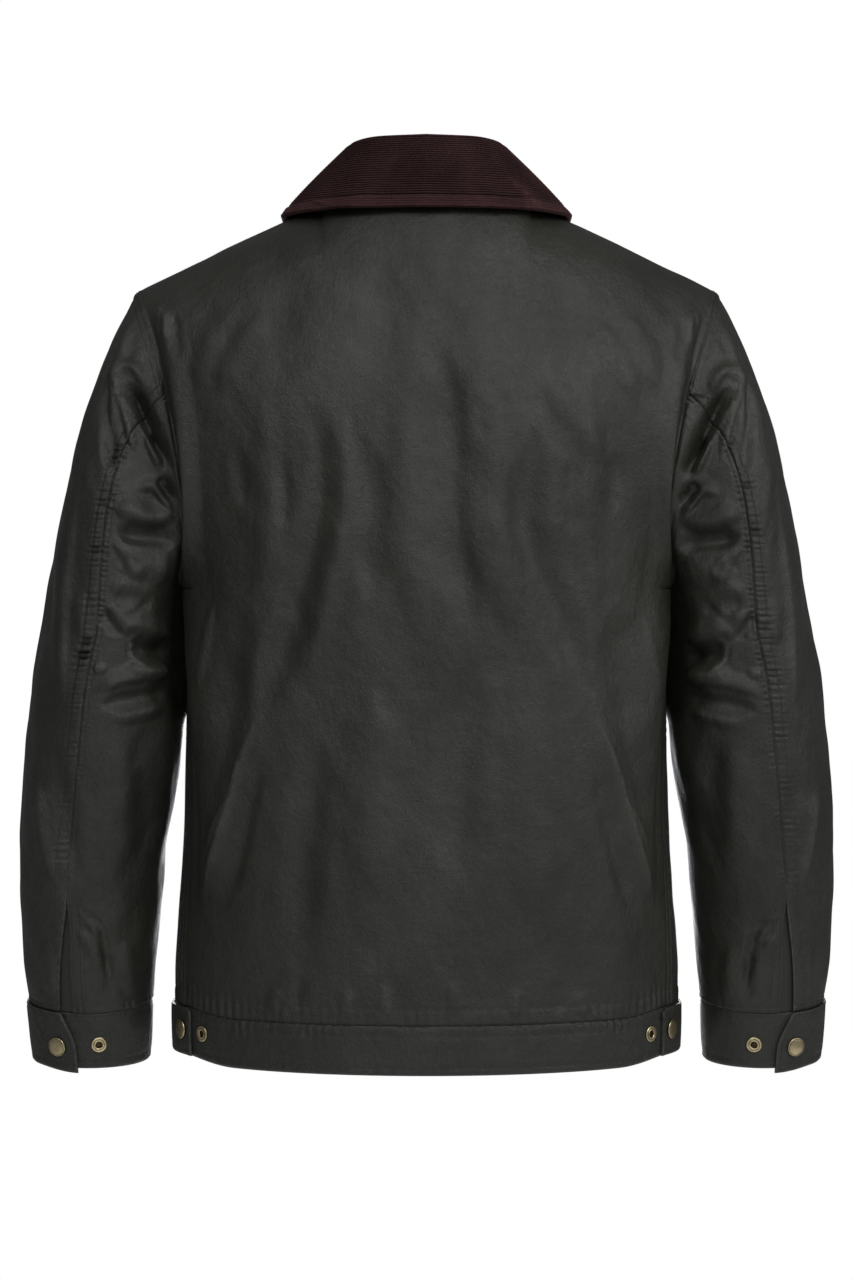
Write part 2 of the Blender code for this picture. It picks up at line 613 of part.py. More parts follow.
def sleeve_grid(edge, along):
    """Turns of the columns of the upper or under sleeve at each place along it."""
    seam = seam_turn(edge, along)[:, None]
    if edge == "upper":
        share = np.linspace(0, 1, round((ARM_SEAM - FRONT_SEAM) / (180 / ARM_STEPS)) + 1)
        return FRONT_SEAM + (seam - FRONT_SEAM) * share
    share = np.linspace(0, 1, round((360 + FRONT_SEAM - ARM_SEAM) / (180 / ARM_STEPS)) + 1)
    return seam + (360 + FRONT_SEAM - seam) * share


def sleeve_piece(name, edge, side, material):
    """The upper or the under sleeve, mitred along the armhole, with its seams a hair apart."""
    along = np.concatenate([np.linspace(0, 1, CAP_ROWS + 1), np.linspace(1, 2, TUBE_ROWS + 1)[1:]])
    turn = sleeve_grid(edge, along)
    apart = np.degrees(SEAM / SLEEVE_RADIUS)
    turn[:, 0] += apart
    turn[:, -1] -= apart
    grid = turn, np.repeat(along[:, None], turn.shape[1], axis=1)
    outer, guide = sleeve(*grid), sleeve_normal(*grid)
    normal = grid_normals(outer, guide)
    normal[[0, -1]], normal[:, [0, -1]] = guide[[0, -1]], guide[:, [0, -1]]
    inner = outer - CLOTH * normal
    inward, step = armhole_seam(turn[0])
    outer[0] = armhole_point(turn[0]) - SEAM * step
    inner[0] = outer[0] - CLOTH * inward
    add_object(name, wall_mesh(name, flip(outer, side), flip(inner, side)), material)


def add_gusset(name, side, material):
    """The plain piece behind the open end of the back seam."""
    turn, along = np.meshgrid(np.linspace(*GUSSET_TURNS, 5), np.linspace(GUSSET_TOP, 2, 6))
    lift = -CLOTH - GUSSET_GAP
    outer, inner = sleeve(turn, along, lift), sleeve(turn, along, lift - GUSSET_WALL)
    add_object(name, wall_mesh(name, flip(outer, side), flip(inner, side)), material)


def cuff_points(turn, height, lift):
    """The cuff band: it starts under its own lapped end and winds once round the wrist over it."""
    middle = sleeve_ring(turn + 90, height) * 0.5 + sleeve_ring(turn - 90, height) * 0.5
    ring = sleeve_ring(turn, height)
    outward = unit(ring - middle)
    layer = CUFF_UNDER + (BAND + LAP + CUFF_SPARE) * ease((turn - CUFF_CLIMB) / CUFF_CLIMB_TURN)
    return ring + outward * (layer + lift)[..., None]


def add_cuff(name, side, material):
    heights = CUFF_END["height"]
    share = np.linspace(0, 1, CUFF_STEPS + 1)
    turn = CUFF_START + (look_up(CUFF_END, "turn", heights)[:, None] - CUFF_START) * share
    grid = turn, np.repeat(heights[:, None], turn.shape[1], axis=1)
    outer, inner = cuff_points(*grid, 0.0), cuff_points(*grid, -BAND)
    add_object(name, wall_mesh(name, flip(outer, side), flip(inner, side)), material)


# ---------------------------------------------------------------- hem


def hem_band(name, across, front, material):
    grid = np.meshgrid(across, np.linspace(HEM_LOW, HEM_TOP - 2 * LAP, 4))
    outer, inner = torso(*grid, front, HEM_PROUD), torso(*grid, front, HEM_PROUD - BAND)
    for column in (0, -1):
        if abs(across[column]) > 0.99:
            for points in (outer, inner):
                points[:, column, 1] += -SEAM if front else SEAM
    mirrored = int(np.sum(across[:-1] < -FRONT_GAP))
    add_object(name, wall_mesh(name, outer, inner, mirrored), material)


def belt(turn, height, lift):
    """The left of the body below the armpit by its turn, 0 at the middle of the back and 180 in front."""
    edge = look_up(BODY, "turn", height)
    return np.where(
        (turn <= edge)[..., None],
        torso(turn / edge, height, False, lift),
        torso((180 - turn) / (180 - edge), height, True, lift),
    )


def add_hem_tab(name, side, material):
    """A tab over the side seam, round at its end on the back."""
    turn = TAB_TURN_END + (TAB_TURN_START - TAB_TURN_END) * np.linspace(0, 1, TAB_COLUMNS + 1) ** CROWDING
    half = (HEM_TOP - HEM_LOW) / 2 - TAB_INSET
    into = np.clip((turn - TAB_TURN_END) / TAB_ROUND, 0, 1)
    reach = half * np.sqrt(np.clip(1 - (1 - into) ** 2, TAB_TIP, 1))
    height = (HEM_TOP + HEM_LOW) / 2 + np.linspace(-1, 1, 5)[:, None] * reach
    grid = np.repeat(turn[None, :], 5, axis=0), height
    low = HEM_PROUD + LAP
    outer, inner = belt(*grid, low + TAB_WALL), belt(*grid, low)
    add_object(name, wall_mesh(name, flip(outer, side), flip(inner, side)), material)


def add_placket(name, material):
    """The storm flap down the middle of the front, from the neck to the hem."""
    share = 1 - (1 - np.linspace(0, 1, PLACKET_ROWS + 1)) ** CROWDING
    heights = PLACKET_LOW + (PLACKET_TOP - PLACKET_LOW) * share
    low = HEM_PROUD + LAP
    layers = []
    for lift in (low + BAND, low):
        rows = [[torso_at(x, z, True, lift)[0] for x in PLACKET_X] for z in heights]
        layers.append(np.array(rows))
    add_object(name, wall_mesh(name, *layers), material)


# ---------------------------------------------------------------- collar


def collar_section(turn):
    """The middle line of the collar's wall at a turn from the middle of the back, and its normals."""
    on_front = turn > 90
    share = (180 - turn) / 90 if on_front else turn / 90
    steps = FRONT_NECK_STEPS / FRONT_STEPS if on_front else BACK_NECK_STEPS / BACK_STEPS
    neck = torso_base(share * steps, SHOULDER_Z, on_front)
    neck_normal = torso_normal(share * steps, SHOULDER_Z, on_front)
    base = neck + neck_normal * COLLAR_RAISE
    fold = np.array([look_up(COLLAR, f"fold_{axis}", turn) for axis in "xyz"])
    edge = np.array([look_up(COLLAR, f"edge_{axis}", turn) for axis in "xyz"])
    if on_front:
        panel, panel_normal = torso_at(edge[0], edge[2], True)
        rest = panel + panel_normal * (COLLAR_WALL / 2 + COLLAR_REST)
        edge = edge + (rest - edge) * ease((turn - 90) / 30)
    out = unit((edge - fold) * [1, 1, 0])
    up = np.array([0.0, 0.0, 1.0])
    run = np.dot(edge - fold, out)
    steep = math.atan2(fold[2] - edge[2], run)
    last = math.pi / 2 - (steep - COLLAR_ROLL)
    centre = fold - up * FOLD_RADIUS
    start = centre - out * FOLD_RADIUS
    t = np.linspace(0, 1, 5)[:-1, None]
    control = base + unit(neck_normal + 1.5 * up) * 0.5 * np.linalg.norm(start - base)
    stand = base * (1 - t) ** 2 + control * 2 * t * (1 - t) + start * t**2
    angles = np.linspace(math.pi, last, 7)[:, None]
    arc = centre + FOLD_RADIUS * (np.cos(angles) * out + np.sin(angles) * up)
    bulge = arc[-1] * 0.5 + edge * 0.5 + (out * math.sin(steep) + up * math.cos(steep)) * COLLAR_CROWN
    t = np.linspace(0, 1, 2 * WALES + 1)[1:, None]
    fall = arc[-1] * (1 - t) ** 2 + bulge * 2 * t * (1 - t) + edge * t**2
    line = np.concatenate([stand, arc, fall])
    normal = unit(np.cross(np.cross(up, out), unit(np.gradient(line, axis=0))))
    nearby = torso_base(share * steps - 0.01, SHOULDER_Z, on_front) - neck
    seat = unit(np.cross(nearby, neck_normal))
    normal[0] = seat * np.sign(np.dot(seat, normal[0]))
    return line, normal, len(stand) + len(arc)


def add_collar(material):
    """One folded wall, corduroy ribs on the fall's outside."""
    back = np.linspace(0, 90, BACK_NECK_STEPS + 1)
    front = np.linspace(90, 180, FRONT_NECK_STEPS + 1)[1:-1]
    turns = np.concatenate([back, front, [COLLAR_END]])
    outer, inner = [], []
    for turn in turns:
        line, normal, fall_start = collar_section(turn)
        rib = np.zeros(len(line))
        rib[fall_start::2] = WALE_HEIGHT
        rib[-1] = 0.0
        plain = np.r_[0:fall_start, fall_start + 5 : len(line) - 4 : 8, len(line) - 1]
        outer.append(line + normal * (COLLAR_WALL / 2 + rib)[:, None])
        inner.append((line - normal * COLLAR_WALL / 2)[plain])
    layers = []
    for half in (outer, inner):
        half = np.array(half)
        whole = np.concatenate([flip(half[:0:-1], -1), half])
        layers.append(whole.transpose(1, 0, 2))
    add_object("collar", wall_mesh("collar", *layers, len(turns) - 1), material)


# ---------------------------------------------------------------- snaps


def turned_mesh(name, profile, hole):
    """A round piece turned about Z from radius and height pairs; with a hole the profile is a ring's."""
    angles = np.linspace(0, 2 * math.pi, SNAP_SIDES, endpoint=False)
    points, faces = [], []
    for radius, height in profile:
        points += [(radius * math.cos(a), radius * math.sin(a), height) for a in angles]
    rings = list(range(len(profile)))
    pairs = list(zip(rings, rings[1:] + rings[:1] if hole else rings[1:]))
    for low, high in pairs:
        for k in range(SNAP_SIDES):
            m = (k + 1) % SNAP_SIDES
            faces.append((low * SNAP_SIDES + k, low * SNAP_SIDES + m, high * SNAP_SIDES + m, high * SNAP_SIDES + k))
    if not hole:
        faces.append(tuple(range(SNAP_SIDES))[::-1])
        faces.append(tuple(rings[-1] * SNAP_SIDES + k for k in range(SNAP_SIDES)))
    mesh = bpy.data.meshes.new(name)
    mesh.from_pydata(points, [], faces)
    return mesh


def add_snap(name, kind, place, outward, material):
    if kind == "cap":
        profile = [(SNAP_RADIUS * r, h) for r, h in ((1.0, 0.0), (1.0, 0.0011), (0.82, 0.0021), (0.3, 0.0025))]
        mesh = turned_mesh(name, profile, False)
    else:
        profile = [(SOCKET_RADIUS * r, h) for r, h in ((1.0, 0.0), (1.0, 0.0009), (0.6, 0.0016), (0.36, 0.0))]
        mesh = turned_mesh(name, profile, True)
    made = add_object(name, mesh, material)
    made.location = place + outward * SNAP_GAP
    made.rotation_mode = "QUATERNION"
    made.rotation_quaternion = Vector(outward).to_track_quat("Z", "Y")
    return made


def surface_spot(points_at, turn, height):
    """A point on a banded surface and its outward normal there."""
    turn, height = np.array([turn], float), np.array([height], float)
    here = points_at(turn, height)
    along = points_at(turn + 1.0, height) - points_at(turn - 1.0, height)
    up = points_at(turn, height + 0.002) - points_at(turn, height - 0.002)
    return here[0], unit(np.cross(along, up))[0]


def add_side_snaps(word, side, brass):
    """The cap and socket of one cuff and of one side of the hem."""
    spots = (
        ("cuff_cap", "cap", lambda t, z: cuff_points(t, z, 0.0), CUFF_CAP),
        ("cuff_socket", "socket", lambda t, z: cuff_points(t, z, 0.0), CUFF_SOCKET),
        ("hem_cap", "cap", lambda t, z: belt(t, z, HEM_PROUD + LAP + TAB_WALL), HEM_CAP),
        ("hem_socket", "socket", lambda t, z: belt(t, z, HEM_PROUD), HEM_SOCKET),
    )
    for name, kind, surface, (turn, height) in spots:
        place, outward = surface_spot(surface, turn, height)
        if np.dot(outward, place - surface(np.array([turn + 180.0]), np.array([height]))[0]) < 0:
            outward = -outward
        add_snap(f"{name}_{word}", kind, flip(place, side), flip(outward, side), brass)


def add_placket_snaps(brass):
    for number, height in enumerate(PLACKET_SNAPS, 1):
        place, outward = torso_at(PLACKET_SNAP_X, height, True, HEM_PROUD + LAP + BAND)
        add_snap(f"placket_cap_{number}", "cap", place, outward, brass)


# ---------------------------------------------------------------- materials


def cloth_material(name, color, roughness, metallic=0.0):
    material = bpy.data.materials.new(name)
    material.use_nodes = True
    shader = material.node_tree.nodes["Principled BSDF"]
    shader.inputs["Base Color"].default_value = (*color, 1.0)
    shader.inputs["Roughness"].default_value = roughness
    shader.inputs["Metallic"].default_value = metallic
    material.diffuse_color = (*color, 1.0)
    return material


def main():
    for old in list(bpy.data.objects):
        bpy.data.objects.remove(old)
    waxed = cloth_material("waxed_cotton", (0.035, 0.034, 0.030), 0.5)
    under = cloth_material("gusset_cloth", (0.018, 0.017, 0.016), 0.7)
    corduroy = cloth_material("corduroy", (0.028, 0.014, 0.015), 0.9)
    brass = cloth_material("aged_brass", (0.42, 0.31, 0.13), 0.35, 1.0)
    add_body(waxed)
    add_placket("placket", waxed)
    half = np.linspace(0, 1, FRONT_STEPS + 1)
    half[0] = FRONT_GAP
    hem_band("hem_band_back", np.linspace(-1, 1, 2 * BACK_STEPS + 1), False, waxed)
    hem_band("hem_band_front_left", half, True, waxed)
    hem_band("hem_band_front_right", -half[::-1], True, waxed)
    for word, side in (("left", 1), ("right", -1)):
        sleeve_piece(f"sleeve_upper_{word}", "upper", side, waxed)
        sleeve_piece(f"sleeve_under_{word}", "under", side, waxed)
        add_gusset(f"cuff_gusset_{word}", side, under)
        add_cuff(f"cuff_{word}", side, waxed)
        add_hem_tab(f"hem_tab_{word}", side, waxed)
        add_side_snaps(word, side, brass)
    add_collar(corduroy)
    add_placket_snaps(brass)


main()
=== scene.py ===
"""Waxed cotton jacket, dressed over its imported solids.

Every cloth piece is a closed wall over the same surface functions as the solids, with a finer grid, folds,
puckered seams and stitches. The collar gets its corduroy ribs and the snaps their turned shapes.

Frame: metres, +Z up, the front towards -Y and the wearer's left towards +X. The origin lies between the
shoulder seams, level with the neck.
"""

import math

import bpy
import numpy as np
from bpy.props import FloatProperty, FloatVectorProperty, IntProperty, PointerProperty
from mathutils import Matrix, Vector


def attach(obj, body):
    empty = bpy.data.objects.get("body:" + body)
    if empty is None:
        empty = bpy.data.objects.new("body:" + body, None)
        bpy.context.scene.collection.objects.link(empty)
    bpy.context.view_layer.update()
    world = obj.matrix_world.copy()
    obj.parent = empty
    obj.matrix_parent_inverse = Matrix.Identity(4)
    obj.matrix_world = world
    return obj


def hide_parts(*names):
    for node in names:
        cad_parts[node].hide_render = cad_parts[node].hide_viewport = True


bl_info = {
    "name": "Waxed Cotton Jacket",
    "version": (1, 0, 0),
    "blender": (4, 5, 0),
    "location": "View3D > Sidebar > Jacket",
    "description": "Builds a waxed cotton jacket with a corduroy collar over its packed solids",
    "category": "Add Mesh",
}

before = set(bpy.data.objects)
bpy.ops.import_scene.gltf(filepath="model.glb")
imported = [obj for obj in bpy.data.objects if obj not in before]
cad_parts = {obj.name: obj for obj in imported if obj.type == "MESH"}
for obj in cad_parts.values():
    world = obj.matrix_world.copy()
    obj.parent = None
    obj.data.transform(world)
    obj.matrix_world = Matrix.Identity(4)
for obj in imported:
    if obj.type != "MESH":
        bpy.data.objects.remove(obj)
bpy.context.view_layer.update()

# Cloth
CLOTH = 0.0018  # body and sleeve wall
BAND = 0.0028  # folded bands, tabs and the storm flap
COLLAR_WALL = 0.0030
SEAM = 0.00016  # half of the gap where two pieces meet
MITRE_LEAST = 0.68  # cosine at which a mitre's reach stops growing
LAP = 0.0004  # gap between a piece and the panel that it lies on

# Heights of the body
HEM_LOW = -0.710
HEM_TOP = -0.6706
ARMPIT = -0.320
SHOULDER_X = 0.243
NECK_X = 0.085
NECK_Z = 0.003
SHOULDER_SLOPE = 0.482
SHOULDER_Z = NECK_Z - SHOULDER_SLOPE * (SHOULDER_X - NECK_X)
SQUARE = 0.82  # exponent of the body's rounded sections, 1 is an ellipse and less is squarer
ROUND_FROM, ROUND_OVER = -0.45, 0.21  # height at which the back starts to get rounder, and over how much

# Sleeves and cuffs
CAP_END = -0.360
SLEEVE_END = -0.6706
CUFF_TOP = -0.6711
CUFF_LOW = -0.7175
VENT_TOP = -0.579
ARM_SEAM = 75.0  # turn at which the back sleeve seam meets the armhole, degrees
FRONT_SEAM = -120.0  # turn of the hidden front sleeve seam
SLEEVE_RADIUS = 0.065  # rough, to turn the gap at a sleeve seam into degrees
GUSSET_TURNS = (56.0, 89.0)
GUSSET_TOP = 1.69  # place along the sleeve
GUSSET_WALL, GUSSET_GAP = 0.0014, 0.0011  # its thickness, and how far inside the sleeve it lies
CUFF_START = 45.0  # turn of the end that lies under the lap
CUFF_UNDER, CUFF_SPARE = -0.0012, 0.0002  # how deep that end lies, and room over it
CUFF_CLIMB, CUFF_CLIMB_TURN = 130.0, 240.0  # where the band starts to rise over itself, and for how far
CUFF_SIDES, CUFF_SAG = 0.0040, 0.0030  # how much the cuff's seam rises at its sides and sags at the back
CUFF_FADE, CUFF_OVER = -0.600, 0.070  # height from which the sleeve bends to that, and over how much
LAP_DROP, LAP_DROP_FROM, LAP_DROP_OVER = 0.0035, 395.0, 50.0  # how far the lap's lower corner hangs
CUFF_CAP, CUFF_SOCKET = (422.8, -0.6983), (102.0, -0.6975)  # turn and height

# Hem, tabs and storm flap
HEM_PROUD, HEM_GAP = 0.0008, 0.0001  # how far the band stands out, and its gap to the body above
HEM_RISE, RISE_TOP, RISE_FADE = 0.005, -0.56, 0.10  # how much higher the hem hangs at its sides
RISE_TURNS, RISE_OVER = (48.0, 130.0), 22.0  # turns between which it does, degrees
TAB_TURN_START, TAB_TURN_END = 100.0, 66.0
TAB_WALL, TAB_INSET = 0.0024, 0.0006  # its thickness, and how much narrower than the band it is on each side
TAB_CORNER, TAB_ROUND = 0.0055, 2.2  # height and turns of the round upper corner at the tab's end
HEM_CAP, HEM_SOCKET = (71.0, -0.6888), (60.3, -0.6881)  # turn and height
FRONT_GAP = 0.0008  # half of the gap between the fronts, as a share of a panel's half width
PLACKET_X = (-0.030, 0.032)  # sides of the storm flap
PLACKET_LOW, PLACKET_TOP = -0.7095, -0.0775
PLACKET_SNAP_X = 0.019
PLACKET_SNAPS = (-0.690, -0.575, -0.460, -0.345, -0.230, -0.125)

# Collar
FOLD_RADIUS = 0.0036
COLLAR_ROLL, COLLAR_CROWN = 0.22, 0.003  # turn left to the fall after the fold, and how far the fall bulges
COLLAR_RAISE, COLLAR_REST = 0.0018, 0.0030  # its gaps to the neck edge and to the fronts
COLLAR_END = 176.0  # turn of the front ends
NECK_SHARE_BACK, NECK_SHARE_FRONT = 6 / 14, 5 / 10  # share of a panel's half width that is neck edge
WALES = 30  # corduroy ribs on the collar's fall
WALE_HEIGHT = 0.0009
WALE_POINTS = 6  # grid rows to a rib
WALE_PRESSED = 0.45  # share by which the ribs are pressed flat between the collar's stitching and its edge

# Snaps
SNAP_RADIUS = 0.0078
SOCKET_RADIUS = 0.0064
SNAP_SIDES = 40
SNAP_SUNK = 0.0001  # how deep a snap's foot sits in the cloth

# Shape of the body's edges
SIDE_Y = 0.012  # where the body is widest
ARMHOLE_BACK, ARMHOLE_FRONT = 0.066, 0.072  # how far the armhole bows to the back and the front
NECK_BACK, NECK_FRONT = 0.078, 0.088  # depth of the neck opening
NECK_DROP_BACK, NECK_DROP_FRONT = 0.014, 0.078  # how far it is cut down in the middle
NECK_SOFT, NECK_SHARP = 0.028, 26.0  # how widely and how high up the corner at the neck is rounded
NECK_BELL = 1.3  # how quickly the neck's curve fades towards the shoulder
SHOULDER_BACK, SHOULDER_FRONT = 4.2, 3.6  # how late the panels round over to the shoulder seam
EDGE_SHARP, EDGE_SHARPER = 6.0, 8.0  # how close to its edge a panel bends to the armhole, and at the armpit
EDGE_LEVEL = 0.05  # share of the armhole's height over which the armpit's bend fades
CREST_OUTER = 0.05  # how far across the panel the fold beside the sleeve reaches towards its edge
CREST_HOLLOW = 0.5  # depth of the hollow outside it, as a share of its height

# The sleeve beside the body: depths, turns in degrees, heights, and the spans over which each fades
HEAD_HOLLOW, HEAD_TURNS, HEAD_FADE = 0.0065, (52.0, 128.0), 22.0  # hollow of the sleeve by the armhole
HEAD_START, HEAD_END = (0.02, 0.10), (0.42, 0.24)  # where it starts and ends along the cap, with its fades
CLEFT, CLEFT_TURN, CLEFT_SPREAD = 0.0085, 156.0, 30.0  # where the sleeve falls back below the armhole
CLEFT_HEIGHTS, CLEFT_FADE, CLEFT_START = (-0.450, -0.185), 0.060, 0.15  # the last a share of the cap
GATHER, GATHER_TURN, GATHER_SPREAD = 0.0074, 205.0, 40.0  # cloth that gathers under the arm
GATHER_HEIGHTS, GATHER_FADE = (-0.438, -0.322), 0.022

# Folds
FOLD_TAPER = 0.28  # share of a fold's length over which it fades at each end
FOLD_EDGE = 0.06  # share of a panel's half width over which folds fade towards its edge
SLEEVE_FOLD_SIDE, SLEEVE_FOLD_TURN = 0.12, 1.9  # how near the sleeve's sides folds fade, and how quickly
SLEEVE_FOLD_FRONT = 0.6  # share of their height on the sleeve's front
SLEEVE_FOLD_TOP = 0.12  # share of the cap over which folds fade towards the armhole
CREASE_WIDTH, CREASE_FULL = 7, 2.4  # widest fold that cracks the wax, and the height that does so fully
MM = 0.001

# Seams: width of the doubled cloth, how high it stands, share of the puckers, and their spacing
ALLOWANCE, BAND_STITCH = 0.0095, 0.0065  # topstitches at the sleeve's back seam and near a band's edge
SIDE_SEAM = (0.0075, 0.0004, 0.7, 0.0075)
ARMHOLE_SEAM = (0.0045, 0.0003, 0.8, 0.0070)
SHOULDER_SEAM = (0.006, 0.0006, 0.6, 0.0090)
HEM_SEAM = (0.013, 0.0002, 2.0, 0.0068)
BAND_TOP, BAND_LOW = (0.008, 0.0, 1.6, 0.0068), (BAND_STITCH, 0.0, 0.8, 0.0080)
SLEEVE_BACK, SLEEVE_BACK_UNDER = (ALLOWANCE, 0.0008, 3.0, 0.0046), (0.004, 0.0, 2.0, 0.0050)
SLEEVE_HIDDEN = (0.0075, 0.0004, 1.0, 0.0055)
SLEEVE_HEAD, SLEEVE_FOOT = (0.005, 0.0, 1.3, 0.0070), (0.006, 0.0004, 1.0, 0.0072)
CUFF_BAND_TOP, CUFF_BAND_LOW = (0.0035, 0.0, 0.7, 0.0065), (BAND_STITCH, 0.0, 0.4, 0.0075)
PUCKER_FROM, PUCKER_OVER, PUCKER_LEAST = -0.50, 0.14, 0.35  # height up from which the sleeve's puckers grow

# Distances of the other topstitches from their edges
EDGE_STITCH, SIDE_STITCH, SHOULDER_STITCH = 0.0015, 0.0016, 0.0055
FOOT_STITCH, VENT_STITCH, VENT_UNDER_STITCH = 0.0022, 0.0025, 0.0085
TAB_STITCH, FLAP_STITCH, COLLAR_STITCH = 0.004, 0.006, 0.0100
THREAD_SECTION = ((0.5, 0), (0, 0.45), (-0.5, 0), (0, -0.3))  # across and up, in thread widths
STITCH_FLAT = 0.34  # share of a stitch's length from its middle to where it dips into the cloth
STITCH_DIP, STITCH_LIFT = 0.3, 0.15  # how deep its ends lie and how high its middle, in thread widths
STITCH_AHEAD = 0.0008  # distance over which a stitch takes its direction


def table(names, *rows):
    """Named columns of numbers; the first column is what the others are looked up by."""
    return dict(zip(names.split(), np.array(sorted(rows), float).T))


# Half a turn is the panel's edge: the side seam below the armpit, the armhole above it.
BODY = table(
    "height back_x  front_x back_y  front_y turn",
    (-0.710, 0.2085, 0.2085, 0.136, -0.140, 73),
    (-0.684, 0.2093, 0.2093, 0.137, -0.141, 73.5),
    (-0.650, 0.2094, 0.2094, 0.137, -0.142, 74),
    (-0.600, 0.2073, 0.2073, 0.136, -0.143, 75),
    (-0.550, 0.2035, 0.2035, 0.135, -0.144, 76),
    (-0.500, 0.2010, 0.2010, 0.133, -0.146, 77),
    (-0.450, 0.1998, 0.1998, 0.132, -0.148, 80),
    (-0.380, 0.1988, 0.1988, 0.131, -0.150, 85),
    (-0.320, 0.1960, 0.1960, 0.131, -0.150, 90),
    (-0.290, 0.1955, 0.1905, 0.131, -0.149, 88),
    (-0.260, 0.1968, 0.1865, 0.130, -0.147, 85),
    (-0.200, 0.2060, 0.1870, 0.127, -0.141, 78),
    (-0.144, 0.2190, 0.2010, 0.119, -0.131, 68),
    (-0.090, 0.2375, 0.2320, 0.108, -0.118, 57),
    (SHOULDER_Z, SHOULDER_X, SHOULDER_X, 0.104, -0.112, 52),
)

SLEEVE = table(
    "height outer  inner  middle_y depth",
    (-0.7175, 0.3300, 0.2325, -0.012, 0.0440),
    (-0.700, 0.3320, 0.2311, -0.011, 0.0450),
    (-0.6675, 0.3350, 0.2303, -0.009, 0.0480),
    (-0.634, 0.3387, 0.2277, -0.006, 0.0535),
    (-0.600, 0.3400, 0.2244, -0.003, 0.0580),
    (-0.5667, 0.3413, 0.2218, 0.000, 0.0620),
    (-0.533, 0.3409, 0.2176, 0.003, 0.0655),
    (-0.4995, 0.3391, 0.2118, 0.005, 0.0690),
    (-0.4658, 0.3365, 0.2059, 0.006, 0.0720),
    (-0.432, 0.3333, 0.2032, 0.006, 0.0750),
    (-0.3986, 0.3300, 0.2024, 0.005, 0.0775),
    (CAP_END, 0.3232, 0.2022, 0.004, 0.0800),
)

# The fold that stands along the back panel's edge, where spare width gathers beside the sleeve
CREST = table(
    "height place lift inner",
    (-0.60, 0.80, 0.0000, 0.26),
    (-0.50, 0.82, 0.0020, 0.26),
    (-0.42, 0.84, 0.0056, 0.26),
    (-0.36, 0.86, 0.0078, 0.25),
    (-0.32, 0.88, 0.0088, 0.22),
    (-0.29, 0.905, 0.0092, 0.17),
    (-0.25, 0.930, 0.0086, 0.13),
    (-0.20, 0.943, 0.0054, 0.10),
    (-0.16, 0.946, 0.0050, 0.08),
    (-0.12, 0.935, 0.0036, 0.08),
    (-0.085, 0.930, 0.0000, 0.08),
)

# Direction in which the sleeve leaves the armhole, by the turn from the shoulder point
CAP_START = table(
    "turn out back down",
    (0, 0.44, 0.00, 0.90),
    (40, 0.60, 0.28, 0.74),
    (75, 0.78, 0.28, 0.56),
    (110, 0.70, 0.22, 0.68),
    (145, 0.40, 0.12, 0.91),
    (180, 0.10, 0.00, 0.99),
)

# Turn of the back sleeve seam, and of the two edges of the vent below it
SLEEVE_SEAM = table(
    "height upper under",
    (-0.6706, 66.0, 79.5),
    (-0.640, 69.5, 79.5),
    (-0.600, 74.5, 79.2),
    (VENT_TOP, 77.5, 77.5),
    (-0.546, 78.5, 78.5),
    (-0.467, 78.6, 78.6),
    (-0.420, 79.5, 79.5),
    (-0.397, 81.0, 81.0),
    (CAP_END, 85.0, 85.0),
)

# Turn of the lapped end of the cuff at each height
CUFF_END = table(
    "height turn",
    (CUFF_LOW, 441.5),
    (-0.707, 441.0),
    (-0.697, 440.5),
    (-0.686, 436.0),
    (CUFF_TOP, 427.0),
)

# The collar's fold line and outer edge by the turn from the middle of the back
COLLAR = table(
    "turn fold_x fold_y fold_z edge_x edge_y edge_z",
    (0, 0.000, 0.0720, 0.0450, 0.000, 0.0960, -0.0156),
    (30, 0.037, 0.0625, 0.0450, 0.061, 0.0830, -0.0148),
    (60, 0.0595, 0.0360, 0.0440, 0.1030, 0.0490, -0.0130),
    (90, 0.0665, 0.0000, 0.0420, 0.1212, 0.0025, -0.0112),
    (120, 0.0575, -0.0420, 0.0260, 0.1145, -0.0600, -0.0300),
    (150, 0.034, -0.0740, -0.0080, 0.088, -0.1080, -0.0780),
    (COLLAR_END, 0.006, -0.0900, -0.0400, 0.052, -0.1300, -0.1140),
)

